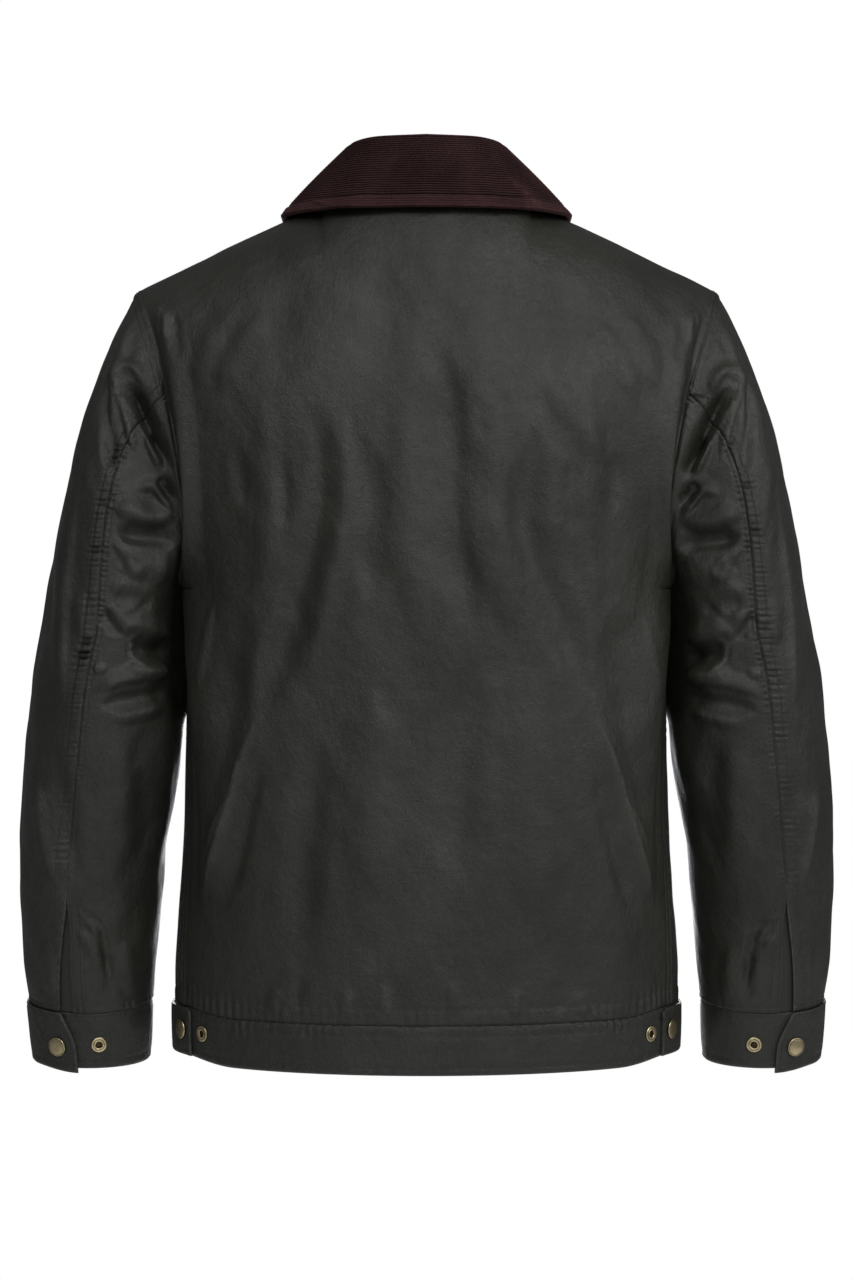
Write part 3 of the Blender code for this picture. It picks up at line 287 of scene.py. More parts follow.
# Folds in millimetres: width, height, skew towards the outer side, sides (2 is mirrored too), then x and z
# of the points of its path. Narrow raised ones are creases, where the wax has cracked pale.
BACK_FOLDS = (
    (23, -6.4, 0.2, 1, (92, -176), (83, -222), (82, -246), (86, -270), (100, -309), (108, -349), (122, -384),
     (133, -420), (144, -450)),
    (21, -5.4, 0, 1, (-88, -190), (-84, -225), (-80, -255), (-82, -280), (-93, -315), (-108, -350),
     (-122, -390), (-132, -420)),
    (19, 4.5, -0.3, 1, (68, -170), (66, -230), (70, -290), (82, -345), (100, -400)),
    (17, -4.6, 0.2, 1, (52, -196), (47, -230), (45, -262), (47, -300), (44, -350)),
    (24, 4.4, 0, 1, (18, -165), (16, -240), (12, -300), (4, -370)),
    (23, -6.2, -0.2, 1, (-5, -122), (-17, -165), (-21, -215), (-21, -250), (-24, -290), (-34, -332),
     (-36, -372)),
    (22, 4.0, 0, 1, (-52, -170), (-54, -250), (-60, -310), (-70, -370)),
    (11, -2.2, 0, 2, (153, -205), (146, -262)),
    (11, -1.9, 0, 2, (116, -210), (113, -280)),
    (16, 2.2, 0, 2, (130, -150), (128, -220), (126, -290), (140, -350)),
    (10, -2, 0, 1, (30, -395), (33, -412), (32, -428)),
    (26, -4.6, 0, 1, (-36, -370), (-28, -460), (-20, -560)),
    (30, 4.2, 0, 1, (36, -380), (46, -480), (50, -590)),
    (28, 3.9, 0, 1, (-74, -400), (-84, -500), (-90, -600)),
    (24, -4.4, 0, 1, (84, -440), (96, -520), (100, -610)),
    (20, 4.3, 0.2, 2, (126, -400), (146, -452), (157, -492), (170, -535), (186, -588)),
    (5, 2, 0.5, 2, (130, -412), (147, -456), (151, -466), (157, -492), (169, -531), (184, -579)),
    (5, 1.5, 0.3, 2, (156, -486), (167, -510), (177, -532)),
    (16, -3.2, -0.3, 2, (132, -450), (142, -495), (152, -540), (166, -590)),
    (24, -4.1, 0, 2, (151, -330), (156, -400), (165, -446)),
    (5, 1.2, 0, 2, (172, -330), (178, -372), (184, -410)),
    (5, 1.8, 0.2, 2, (217, -90), (222, -104)),
    (6, 2.2, 0.3, 2, (216, -92), (212, -108), (214, -124)),
    (9, -2.4, 0, 2, (206, -96), (204, -118), (200, -140)),
    (16, 2.6, 0, 2, (126, -100), (150, -130), (168, -170)),
    (14, 2.0, 0, 2, (152, -92), (174, -124), (186, -166)),
    (17, 2.4, 0, 1, (-96, -150), (-120, -190), (-150, -226)),
    (26, -3.2, 0, 2, (105, -60), (112, -110), (112, -170)),
    (30, -2.6, 0, 1, (40, -60), (34, -110), (44, -160)),
    (30, 1.6, 0, 1, (-30, -70), (-40, -130), (-36, -180)),
    (7, 1.4, 0, 1, (62, -640), (64, -664)),
    (7, 1.4, 0, 1, (34, -636), (32, -664)),
    (8, 1.6, 0, 1, (-20, -632), (-24, -664)),
    (7, 1.4, 0, 1, (-70, -640), (-70, -664)),
    (8, 1.5, 0, 2, (120, -640), (124, -664)),
    (8, -1.5, 0, 2, (100, -630), (104, -662)),
)
FRONT_FOLDS = (
    (28, -4.2, 0, 2, (150, -200), (120, -290), (115, -380)),
    (24, 3, 0, 2, (110, -180), (85, -280), (80, -360)),
    (20, 3.6, 0.2, 2, (135, -430), (155, -500), (172, -580)),
    (5, 1.6, 0.4, 2, (132, -425), (150, -470), (160, -520), (174, -572)),
    (20, -2.6, 0, 2, (128, -470), (142, -530), (156, -590)),
    (22, 1.9, 0, 2, (84, -420), (88, -500), (92, -570)),
    (14, -2.2, 0, 1, (66, -240), (62, -310), (66, -370)),
    (14, -2.2, 0, 1, (-70, -260), (-66, -330), (-72, -390)),
    (6, -1.4, 0, 2, (140, -240), (134, -300)),
    (6, 1.7, 0.3, 2, (190, -110), (178, -140), (176, -170)),
    (9, -1.9, 0, 2, (180, -110), (168, -150), (166, -180)),
    (8, 1.3, 0, 2, (120, -638), (122, -664)),
    (8, 1.2, 0, 2, (80, -640), (78, -664)),
)
# Of the left sleeve; the right one mirrors them all
SLEEVE_FOLDS = (
    (7, 2.4, 0.3, 1, (233, -86), (244, -106), (251, -132), (256, -160), (257, -206)),
    (9, 4.6, 0.2, 1, (258, -158), (251, -145), (242, -142), (235, -147), (229, -156), (222, -158)),
    (10, -12.5, 0, 1, (257, -170), (246, -161), (236, -168), (230, -178), (222, -191), (213, -206),
     (203, -226)),
    (7, 4.0, 0.2, 1, (254, -150), (248, -173), (242, -194), (236, -214)),
    (6, 2.4, 0, 1, (249, -150), (242, -172), (235, -186)),
    (9, -4.0, 0, 1, (258, -150), (261, -175), (258, -205), (254, -236)),
    (14, 1.2, -0.3, 1, (272, -156), (278, -200), (277, -250)),
    (6, 2.2, 0, 1, (262, -104), (276, -128), (286, -152)),
    (10, -10.0, 0, 1, (224, -190), (214, -208), (202, -230)),
    (6, 4.0, 0.4, 1, (226, -194), (218, -196), (208, -210), (204, -222)),
    (8, 4.0, 0.3, 1, (228, -196), (221, -212), (214, -228)),
    (9, -8.0, 0, 1, (216, -232), (210, -242), (203, -252)),
    (8, 5.0, 0.3, 1, (236, -244), (222, -240), (213, -250), (205, -262)),
    (14, 5.5, 0.2, 1, (256, -256), (238, -262), (220, -266), (200, -260)),
    (13, -8.0, 0.3, 1, (254, -276), (236, -281), (218, -283), (198, -286)),
    (18, 4.5, 0, 1, (252, -300), (230, -304), (204, -312)),
    (9, 3.0, 0.3, 1, (256, -286), (247, -292), (240, -305), (232, -320)),
    (10, -3.0, 0, 1, (250, -296), (240, -302), (232, -300)),
    (16, 3.6, 0, 1, (256, -316), (246, -322), (236, -330), (226, -340)),
    (12, -4.2, 0, 1, (257, -328), (246, -330), (234, -332), (222, -340)),
    (10, 3.2, 0.3, 1, (258, -336), (250, -348), (240, -362)),
    (10, -3.2, 0, 1, (264, -338), (256, -350), (246, -362)),
    (13, 4.8, 0.2, 1, (246, -350), (228, -355), (202, -362)),
    (14, -8.5, 0, 1, (246, -372), (222, -374), (198, -374)),
    (7, 3.6, 0.5, 1, (240, -364), (238, -378), (229, -387)),
    (10, 4.6, 0, 1, (246, -386), (222, -389), (200, -391)),
    (10, 4.6, 0.3, 1, (271, -408), (256, -401), (240, -396), (202, -392)),
    (11, -5.0, 0, 1, (268, -420), (246, -414), (224, -410), (202, -404)),
    (9, 3.4, 0, 1, (256, -430), (236, -426), (210, -418)),
    (6, 2.4, 0, 1, (271, -388), (258, -388)),
    (16, 2.2, 0, 1, (297, -255), (298, -330), (296, -420)),
    (5, 1.7, 0, 1, (283, -225), (289, -290), (294, -350), (296, -430)),
    (10, 1.8, 0, 1, (281, -322), (280, -368)),
    (14, -2.0, 0, 1, (310, -300), (312, -370), (310, -440)),
    (20, 3.0, 0.2, 1, (318, -470), (310, -536), (300, -592)),
    (6, 2.2, 0.4, 1, (318, -475), (314, -510), (309, -540), (301, -569)),
    (16, -2.6, 0, 1, (300, -460), (292, -520), (284, -560)),
    (24, 2.6, 0, 1, (252, -440), (250, -500), (254, -560)),
    (18, -3.0, 0, 1, (232, -430), (230, -490), (238, -550)),
    (8, 2.6, 0.3, 1, (286, -582), (277, -595), (266, -612)),
    (7, -3.2, 0, 1, (290, -579), (278, -590), (268, -602), (262, -628), (261, -655)),
    (8, 2.6, 0, 1, (286, -602), (278, -614), (268, -630)),
    (9, 2.2, 0, 1, (250, -610), (246, -640), (247, -664)),
    (9, -2.0, 0, 1, (264, -620), (262, -645), (262, -664)),
    (9, 2.2, 0, 1, (314, -610), (312, -640), (311, -664)),
)
COLLAR_FOLDS = (
    (9, 1.3, 0.5, 1, (36, 17), (39, 8), (52, -6), (72, -14), (98, -18)),
    (4, 1.2, 0.3, 1, (-62, 14), (-74, 4), (-86, -8), (-98, -18)),
    (12, -0.9, 0, 1, (-48, 16), (-64, -2), (-76, -12)),
    (14, -0.8, 0, 1, (56, 22), (72, 6), (92, -6)),
)
MIRROR_SHIFT = (2.5, -4.0)  # millimetres by which a mirrored fold moves, so that the sides aren't twins
MIRROR_SHARE = 0.9


# ---- settings


def colour_of(name, description, default):
    return FloatVectorProperty(
        name=name, description=description, default=default, subtype="COLOR", size=3, min=0, max=1
    )


def length_of(name, description, default, **limits):
    return FloatProperty(
        name=name, description=description, default=default, unit="LENGTH", precision=5, **limits
    )


def power_of(name, description, default):
    return FloatProperty(name=name, description=description, default=default, unit="POWER", min=0)


class JacketFinish(bpy.types.PropertyGroup):
    """Colours of the cloths, thread and brass."""

    waxed: colour_of("Waxed cotton", "Outer cloth where it is clean and waxed", (0.0124, 0.0120, 0.0084))
    cracked: colour_of("Cracked wax", "Outer cloth along creases and rubbed edges", (0.0420, 0.0405, 0.0340))
    gusset: colour_of("Gusset cloth", "Plain cloth behind the cuff vents", (0.0200, 0.0195, 0.0165))
    corduroy: colour_of("Corduroy", "Collar pile seen straight on", (0.0196, 0.0088, 0.0090))
    thread: colour_of("Thread", "Topstitching", (0.0170, 0.0165, 0.0130))
    brass: colour_of("Brass", "Snaps where they are rubbed bright", (0.68, 0.56, 0.33))


class JacketCloth(bpy.types.PropertyGroup):
    """How strongly the cloth is creased and puckered."""

    folds: FloatProperty(
        name="Folds", description="Share of the folds' height", default=1.0, min=0, max=1.5, subtype="FACTOR"
    )
    pucker: length_of("Pucker", "Height of the small puckers along seams", 0.00034, min=0, max=0.001)
    sway: length_of("Sway", "Height of the filled-out cloth's broad unevenness", 0.0007, min=0, max=0.003)
    thinning: IntProperty(
        name="Inside spacing", description="Grid steps of the outside for each one of the inside",
        default=4, min=1, max=8,
    )


class JacketStitch(bpy.types.PropertyGroup):
    """Size of the topstitches."""

    pitch: length_of("Pitch", "Distance from one stitch to the next", 0.0032, min=0.002, max=0.006)
    length: length_of("Length", "Thread that shows in each stitch", 0.0025, min=0.001, max=0.005)
    width: length_of("Width", "Thickness of the thread", 0.00052, min=0.0002, max=0.001)


class JacketStage(bpy.types.PropertyGroup):
    """Camera, lights and floor."""

    distance: length_of("Distance", "How far behind the origin the camera stands", 2.3, min=0.5)
    height: length_of("Height", "Camera height", -0.365)
    lens: FloatProperty(name="Lens", description="Focal length", default=76.98, min=1, unit="CAMERA")
    floor: length_of("Floor", "Height of the floor", -1.45)
    key: power_of("Key lights", "Power of the two lights above the back together", 70.0)
    side: power_of("Side light", "Power of the light beside the right shoulder", 13.0)
    low: power_of("Low light", "Power of the light from below; two weaker ones are shares of it", 5.8)
    fill: power_of("Front light", "Power of the light on the front", 50.0)
    sky: FloatProperty(name="Sky", description="Strength of the even light all round", default=0.16, min=0)


# ---- curves and folds


def look_up(rows, column, at):
    """A column's value at each place of the first column, on a curve that keeps between its rows."""
    knots, values = next(iter(rows.values())), rows[column]
    step = np.diff(knots)
    rise = np.diff(values) / step
    product = rise[1:] * rise[:-1]
    total = np.where(np.abs(rise[1:] + rise[:-1]) < 1e-12, 1.0, rise[1:] + rise[:-1])
    slope = np.concatenate([rise[:1], np.where(product > 0, 2 * product / total, 0.0), rise[-1:]])
    at = np.clip(at, knots[0], knots[-1])
    i = np.clip(np.searchsorted(knots, at, "right") - 1, 0, len(step) - 1)
    t = (at - knots[i]) / step[i]
    smooth = t * t * (3 - 2 * t)
    start, end = t * (1 - t) ** 2, t * t * (t - 1)
    bend = step[i] * (start * slope[i] + end * slope[i + 1])
    return values[i] * (1 - smooth) + values[i + 1] * smooth + bend


def unit(vectors):
    return vectors / np.maximum(np.linalg.norm(vectors, axis=-1, keepdims=True), 1e-12)


def ease(t):
    t = np.clip(t, 0.0, 1.0)
    return t * t * (3 - 2 * t)


def between(value, span, fade):
    """1 inside a span and nothing outside, fading within each of its ends."""
    return ease((value - span[0]) / fade) * ease((span[1] - value) / fade)


def bell(t):
    """1 at 0 and nothing from 1 on, smooth at both."""
    return 0.5 + 0.5 * np.cos(np.pi * np.clip(np.abs(t), 0.0, 1.0))


def pressed(away, distance, width):
    """The narrow dent of a line at a distance from an edge, 1 in its middle."""
    return np.exp(-(((away - distance) / width) ** 2))


def smooth_path(points, per_span=7):
    """A curve through a few points, as a close row of them."""
    points = np.array(points, float)
    ends = np.concatenate([points[:1], points, points[-1:]])
    t = np.linspace(0, 1, per_span, endpoint=False)[:, None]
    spans = []
    for a, b, c, d in zip(ends, ends[1:], ends[2:], ends[3:]):
        bend = t**2 * (a - 2.5 * b + 2 * c - 0.5 * d) + t**3 * (1.5 * b - 0.5 * a + 0.5 * d - 1.5 * c)
        spans.append(b + 0.5 * t * (c - a) + bend)
    return np.concatenate(spans + [points[-1:]])


def one_fold(line, width, skew, x, z):
    """A fold's share of its height at each point, 1 on its path and tapering out at both ends."""
    step, heading = np.diff(line, axis=0), unit(np.gradient(line, axis=0))
    size = np.maximum(np.hypot(*step.T), 1e-9)
    walked = np.concatenate([[0.0], np.cumsum(size)]) / np.sum(size)
    best, along, turned = np.full(x.shape, 1e9), np.zeros(x.shape), np.zeros(x.shape)
    for (xa, za), (dx, dz), long, start, end, ahead, next_ahead in zip(
        line, step, size, walked, walked[1:], heading, heading[1:]
    ):
        t = np.clip(((x - xa) * dx + (z - za) * dz) / long**2, 0.0, 1.0)
        off_x, off_z = x - xa - t * dx, z - za - t * dz
        away = np.hypot(off_x, off_z)
        closer = away < best
        best = np.where(closer, away, best)
        along = np.where(closer, start + t * (end - start), along)
        ahead_x, ahead_z = ahead[:, None] + (next_ahead - ahead)[:, None] * t
        turned = np.where(closer, ahead_x * off_z - ahead_z * off_x, turned)
    taper = ease(along / FOLD_TAPER) * ease((1 - along) / FOLD_TAPER)
    reach = width * np.where(turned > 0, 1 - skew, 1 + skew) * (0.45 + 0.55 * taper)
    return bell(best / reach) * taper


def fold_relief(folds, x, z):
    """How far the folds lift the cloth at each x and z, and how strongly it is creased there."""
    x, z = np.broadcast_arrays(x, z)
    lift, crease = np.zeros(x.shape), np.zeros(x.shape)
    share = bpy.context.scene.jacket_cloth.folds
    for width, height, skew, sides, *path in folds:
        for side in (1, -1)[:sides]:
            line = smooth_path(path)
            if side < 0:
                line = line + MIRROR_SHIFT
                height = height * MIRROR_SHARE
            line, reach = line * MM, width * MM * (1 + abs(skew))
            low, high = line.min(axis=0) - reach, line.max(axis=0) + reach
            near = (x * side > low[0]) & (x * side < high[0]) & (z > low[1]) & (z < high[1])
            if near.any():
                part = one_fold(line, width * MM, skew, x[near] * side, z[near])
                lift[near] += part * height * MM * share
                if height > 0 and width <= CREASE_WIDTH:
                    crease[near] = np.maximum(crease[near], part * min(1.0, height / CREASE_FULL))
    return lift, crease


def waves(at, length, seed, count=6):
    """Uneven ripples along a line: seeded waves of about one length."""
    rng = np.random.default_rng(seed)
    total = np.zeros(np.shape(at))
    for _ in range(count):
        own = length * rng.uniform(0.75, 1.35)
        total = total + np.sin(2 * np.pi * at / own + rng.uniform(0, 2 * np.pi))
    slow = np.sin(2 * np.pi * at / (length * 9) + rng.uniform(0, 2 * np.pi))
    return total / count**0.5 * (0.75 + 0.45 * slow)


def sway(u, v, seed, size):
    """Broad unevenness of cloth, mostly in upright ripples."""
    rng = np.random.default_rng(seed)
    total = np.zeros(np.broadcast(u, v).shape)
    for _ in range(18):
        own, tilt = size * rng.uniform(0.35, 1.5), rng.uniform(-0.8, 0.8)
        phase = rng.uniform(0, 2 * np.pi)
        along = u * math.cos(tilt) + v * math.sin(tilt)
        total = total + own / size * np.sin(2 * np.pi * along / own + phase)
    return total / 4


# ---- body


def armhole_height(turn):
    """Height on the armhole's edge, by the turn in degrees from the shoulder point to the armpit."""
    middle, half = (SHOULDER_Z + ARMPIT) / 2, (SHOULDER_Z - ARMPIT) / 2
    return middle + half * np.cos(np.radians(turn))


def top_line(x, front):
    """Depth and height of the neck edge and the shoulder seam, at each distance from the middle."""
    x = np.abs(x)
    depth, drop = (-NECK_FRONT, NECK_DROP_FRONT) if front else (NECK_BACK, NECK_DROP_BACK)
    inside = np.clip(1 - (x / NECK_X) ** 2, 0.0, 1.0)
    return depth * np.sqrt(inside), NECK_Z - drop * inside - SHOULDER_SLOPE * np.maximum(x - NECK_X, 0.0)


def soft_top_line(x, front):
    """The same line without its corner at the neck, which the panel follows further down."""
    x = np.abs(x)
    depth, drop = (-NECK_FRONT, NECK_DROP_FRONT) if front else (NECK_BACK, NECK_DROP_BACK)
    bump = np.exp(-NECK_BELL * (x / NECK_X) ** 2)
    past = NECK_SOFT * np.log1p(np.exp((x - NECK_X) / NECK_SOFT))
    return depth * np.sqrt(bump), NECK_Z - drop * bump - SHOULDER_SLOPE * past


def squareness(height, on_back):
    """Exponent of the body's sections: the back becomes an ellipse at the hem."""
    rounder = (1 - SQUARE) * ease((ROUND_FROM - height) / ROUND_OVER)
    return SQUARE + np.where(on_back, rounder, 0.0)


def side_rise(turn, height):
    """How much higher the hem hangs at its tabs, by the turn in degrees from the middle of the back."""
    return HEM_RISE * between(turn, RISE_TURNS, RISE_OVER) * ease((RISE_TOP - height) / RISE_FADE)


def torso_base(across, height, front):
    """The body without folds. Across runs from -1 to 1 between the panel's edges, 0 in the middle."""
    across, height = np.broadcast_arrays(np.asarray(across, float), np.asarray(height, float))
    edge_x = look_up(BODY, "back_x", height)
    if front:
        edge_x = np.where(height > ARMPIT, look_up(BODY, "front_x", height), edge_x)
    deep = look_up(BODY, "front_y" if front else "back_y", height)
    edge_turn = np.radians(look_up(BODY, "turn", height))
    edge_turn = np.where((height < ARMPIT) & front, np.pi - edge_turn, edge_turn)
    over_armpit = height > ARMPIT
    edge_sine = np.where(over_armpit, np.sin(edge_turn) ** SQUARE, 1.0)

    reach, neck_reach = np.abs(across), NECK_SHARE_FRONT if front else NECK_SHARE_BACK
    neck_part = NECK_X * np.sin(np.pi / 2 * np.minimum(reach / neck_reach, 1.0))
    top_x = neck_part + (SHOULDER_X - NECK_X) * np.maximum(reach - neck_reach, 0.0) / (1 - neck_reach)
    top_turn = np.arcsin(np.clip(top_x / SHOULDER_X * edge_sine, 0, 1) ** (1 / SQUARE))
    up = ease((height - ARMPIT) / (SHOULDER_Z - ARMPIT))
    turn = reach * edge_turn * (1 - up) + top_turn * up
    cosine = np.cos(turn)
    square = squareness(height, (cosine >= 0) != front)
    x = edge_x / edge_sine * np.abs(np.sin(turn)) ** square

    top_y, top_z = top_line(x, front)
    edge_top_z = top_line(edge_x, False)[1]
    rise = np.clip((height - ARMPIT) / (edge_top_z - ARMPIT), 0.0, 1 - 1e-9)
    round_off = np.sqrt(1 - rise ** (SHOULDER_FRONT if front else SHOULDER_BACK))
    level = np.clip((height - ARMPIT) / (SHOULDER_Z - ARMPIT), 0.0, 1.0)
    bow = 2 * np.sqrt(level * (1 - level)) * (-ARMHOLE_FRONT if front else ARMHOLE_BACK)
    edge_y = (SIDE_Y * (1 - level) + bow) / round_off
    free_edge_y = SIDE_Y + (deep - SIDE_Y) * np.abs(np.cos(edge_turn)) ** SQUARE
    near_edge = np.minimum(reach, 1.0) ** (EDGE_SHARP + EDGE_SHARPER * np.exp(-level / EDGE_LEVEL))
    fall = np.sign(cosine) * np.abs(cosine) ** square
    opposite = look_up(BODY, "back_y" if front else "front_y", height)
    y = SIDE_Y + np.where(fall >= 0, (deep - SIDE_Y) * fall, (opposite - SIDE_Y) * -fall)
    y = y + np.where(over_armpit, (edge_y - free_edge_y) * near_edge, 0.0)
    soft_y, soft_z = soft_top_line(x, front)
    corner = rise**NECK_SHARP
    rounded = soft_y + (y - soft_y) * round_off + (top_y - soft_y) * corner
    y = np.where(over_armpit, rounded, y)
    height_there = ARMPIT + (soft_z - ARMPIT) * rise + (top_z - soft_z) * corner
    from_back = np.degrees(np.pi - turn if front else turn)
    z = np.where(over_armpit, height_there, height + side_rise(from_back, height))
    return np.stack([np.sign(across) * x, y, z], axis=-1)


def slope_normal(surface, u, v, step_u, step_v):
    """Unit normal of a surface of two parameters, on the side that u crossed with v gives."""
    along_u = surface(u + step_u, v) - surface(u - step_u, v)
    along_v = surface(u, v + step_v) - surface(u, v - step_v)
    return unit(np.cross(along_u, along_v))


def torso_normal(across, height, front):
    across, height = np.broadcast_arrays(np.asarray(across, float), np.asarray(height, float))
    across = np.clip(across, -0.9999, 0.9999)
    height = np.minimum(height, SHOULDER_Z - 1e-5)
    normal = slope_normal(lambda u, v: torso_base(u, v, front), across, height, 1e-4, 1e-5)
    return normal if front else -normal


def armhole_crest(across, height, front):
    """The soft fold that stands beside the armhole where spare width gathers, and the hollow outside it."""
    if front:
        return 0.0
    reach, place, lift = np.abs(across), look_up(CREST, "place", height), look_up(CREST, "lift", height)
    inner = ease((reach - place) / look_up(CREST, "inner", height) + 1)
    outer = ease((reach - place) / CREST_OUTER)
    hollow = bell((reach - place - CREST_OUTER) / np.minimum(CREST_OUTER, 1 - place - CREST_OUTER + 1e-3))
    return lift * (inner * (1 - outer) - CREST_HOLLOW * hollow)


def body_relief(points, across, height, front):
    """Lift and creasing of the body's cloth."""
    lift, crease = fold_relief(FRONT_FOLDS if front else BACK_FOLDS, points[..., 0], points[..., 2])
    edge = ease((1 - np.abs(across)) / FOLD_EDGE)
    return lift * edge + armhole_crest(across, height, front), crease * edge


def torso(across, height, front, lift=0.0):
    """The body with its folds, moved out by lift."""
    points = torso_base(across, height, front)
    rise = lift + body_relief(points, across, height, front)[0]
    return points + torso_normal(across, height, front) * np.asarray(rise)[..., None]


def torso_spot(x, z, front):
    """Across and height of the body's surface at each x and z below the shoulder."""
    x, z = np.broadcast_arrays(np.asarray(x, float), np.asarray(z, float))
    height, across = np.minimum(z, SHOULDER_Z), np.full(x.shape, 0.3)
    for _ in range(40):
        here = torso_base(across, height, front)
        across = np.clip(across * np.abs(x) / np.maximum(here[..., 0], 1e-7), 1e-4, 1.0)
        height = np.minimum(height + 0.8 * (z - here[..., 2]), SHOULDER_Z)
    return np.where(x < 0, -across, across), height


# ---- sleeve


def armhole_point(turn):
    """A point on the left armhole's edge; turns over 180 degrees run up the front."""
    turn = np.mod(turn, 360.0)
    folded = np.where(turn > 180, 360 - turn, turn)
    height = armhole_height(folded)
    back, front = torso_base(1.0, height, False), torso_base(1.0, height, True)
    return np.where((turn > 180)[..., None], front, back)


def sleeve_ring(turn, height):
    """The left sleeve's section at a height, bent to the run of the cuff's seam at its lower end."""
    outer, inner = look_up(SLEEVE, "outer", height), look_up(SLEEVE, "inner", height)
    cosine, sine = np.cos(np.radians(turn)), np.sin(np.radians(turn))
    x = (outer + inner) / 2 + (outer - inner) / 2 * cosine
    y = look_up(SLEEVE, "middle_y", height) + look_up(SLEEVE, "depth", height) * sine
    near_cuff = ease((CUFF_FADE - height) / CUFF_OVER)
    up_band = np.clip((height - CUFF_LOW) / (CUFF_TOP - CUFF_LOW), 0, 1)
    shift = CUFF_SIDES * up_band * (1 - np.abs(sine)) - CUFF_SAG * np.maximum(sine, 0)
    return np.stack(np.broadcast_arrays(x, y, height + near_cuff * shift), axis=-1)


def sleeve_base(turn, along):
    """The left sleeve without folds: along runs 0 to 1 down the cap and 1 to 2 down to the cuff."""
    turn, along = np.broadcast_arrays(np.asarray(turn, float), np.asarray(along, float))
    start, end = armhole_point(turn), sleeve_ring(turn, np.full(turn.shape, CAP_END))
    below = sleeve_ring(turn, np.full(turn.shape, CAP_END - 0.002))
    length = np.linalg.norm(end - start, axis=-1, keepdims=True)
    folded = np.abs(np.mod(turn + 180, 360) - 180)
    back = look_up(CAP_START, "back", folded) * np.where(np.mod(turn, 360) > 180, -1.0, 1.0)
    out, down = look_up(CAP_START, "out", folded), look_up(CAP_START, "down", folded)
    leave = unit(np.stack([out, back, -down], axis=-1)) * length
    arrive = unit(below - end) * length
    t = np.clip(along, 0.0, 1.0)[..., None]
    cap = (
        start * (1 + 2 * t) * (1 - t) ** 2
        + end * t * t * (3 - 2 * t)
        + leave * t * (1 - t) ** 2
        + arrive * t * t * (t - 1)
    )
    height = CAP_END + (SLEEVE_END - CAP_END) * (along - 1)
    tube = sleeve_ring(turn, np.minimum(height, CAP_END))
    return np.where((along > 1)[..., None], tube, cap)


def sleeve_normal(turn, along):
    turn, along = np.broadcast_arrays(np.asarray(turn, float), np.asarray(along, float))
    return -slope_normal(sleeve_base, turn, np.clip(along, 2e-3, 2 - 2e-3), 0.05, 1e-3)


def sleeve_relief(points, turn, along, side=1):
    """Lift and creasing of the sleeve's cloth; the right one's folds are a little moved from the left's."""
    sine, turn, along = np.sin(np.radians(turn)), np.mod(turn, 360), np.asarray(along)
    in_back, in_front = (ease((s - SLEEVE_FOLD_SIDE) * SLEEVE_FOLD_TURN) for s in (sine, -sine))
    share = (in_back + SLEEVE_FOLD_FRONT * in_front) * ease(along / SLEEVE_FOLD_TOP)
    shift = (0.0, 0.0) if side > 0 else np.array(MIRROR_SHIFT) * MM
    lift, crease = fold_relief(SLEEVE_FOLDS, points[..., 0] - shift[0], points[..., 2] - shift[1])
    (start, start_fade), (end, end_fade) = HEAD_START, HEAD_END
    hollow = HEAD_HOLLOW * between(turn, HEAD_TURNS, HEAD_FADE)
    hollow = hollow * ease((along - start) / start_fade) * ease((end - along) / end_fade)
    height = points[..., 2]
    gather = GATHER * between(height, GATHER_HEIGHTS, GATHER_FADE)
    cleft = CLEFT * between(height, CLEFT_HEIGHTS, CLEFT_FADE) * ease(along / CLEFT_START)
    gather = gather * bell((turn - GATHER_TURN) / GATHER_SPREAD)
    cleft = cleft * bell((turn - CLEFT_TURN) / CLEFT_SPREAD)
    return lift * share - hollow + gather - cleft, crease * share


def seam_turn(edge, along):
    """Turn of the back seam's edge for the upper or the under sleeve."""
    height = CAP_END + (SLEEVE_END - CAP_END) * (along - 1)
    on_tube = look_up(SLEEVE_SEAM, edge, np.minimum(height, CAP_END))
    return np.where(along < 1, ARM_SEAM + (on_tube - ARM_SEAM) * ease(along), on_tube)


def armhole_seam(turn):
    """Mitre of the armhole: the direction inward between the two walls, and the step from sleeve to body."""
    turn = np.asarray(turn, float)
    ahead = unit(armhole_point(turn + 0.5) - armhole_point(turn - 0.5))
    folded = np.abs(np.mod(turn + 180, 360) - 180)
    height = np.clip(armhole_height(folded), ARMPIT + 2e-4, SHOULDER_Z - 2e-4)
    on_front = (np.mod(turn, 360) > 180)[..., None]
    body = np.where(on_front, torso_normal(0.999, height, True), torso_normal(0.999, height, False))
    arm = sleeve_normal(turn, 0.0)
    middle = unit(body + arm + 1e-6)
    reach = 1 / np.maximum(np.sum(middle * body, axis=-1, keepdims=True), MITRE_LEAST)
    apart = unit(np.cross(ahead, middle))
    into_body, into_arm = np.cross(body, ahead), np.cross(arm, ahead)
    outward = sleeve_base(turn, 0.05) - armhole_point(turn)
    into_arm *= np.sign(np.sum(into_arm * outward, axis=-1, keepdims=True))
    into_body *= np.sign(-np.sum(into_body * into_arm, axis=-1, keepdims=True))
    side = np.sum(apart * (into_body - into_arm - body + arm), axis=-1, keepdims=True)
    return middle * reach, apart * np.sign(side)


# ---- walls


def flip(points, side):
    return points * [side, 1.0, 1.0]


def spread(count, step):
    """Every few rows or columns of a grid, always with the last."""
    picked = np.arange(0, count, step)
    return picked if picked[-1] == count - 1 else np.append(picked, count - 1)


def strip_between(first, second):
    """Triangles between two rows of vertices that run side by side, whatever their counts."""
    faces, i, j = [], 0, 0
    while i < len(first) - 1 or j < len(second) - 1:
        ahead = j == len(second) - 1 or (i < len(first) - 1 and i * (len(second) - 1) <= j * (len(first) - 1))
        if ahead:
            faces.append((first[i], first[i + 1], second[j]))
            i += 1
        else:
            faces.append((first[i], second[j + 1], second[j]))
            j += 1
    return faces


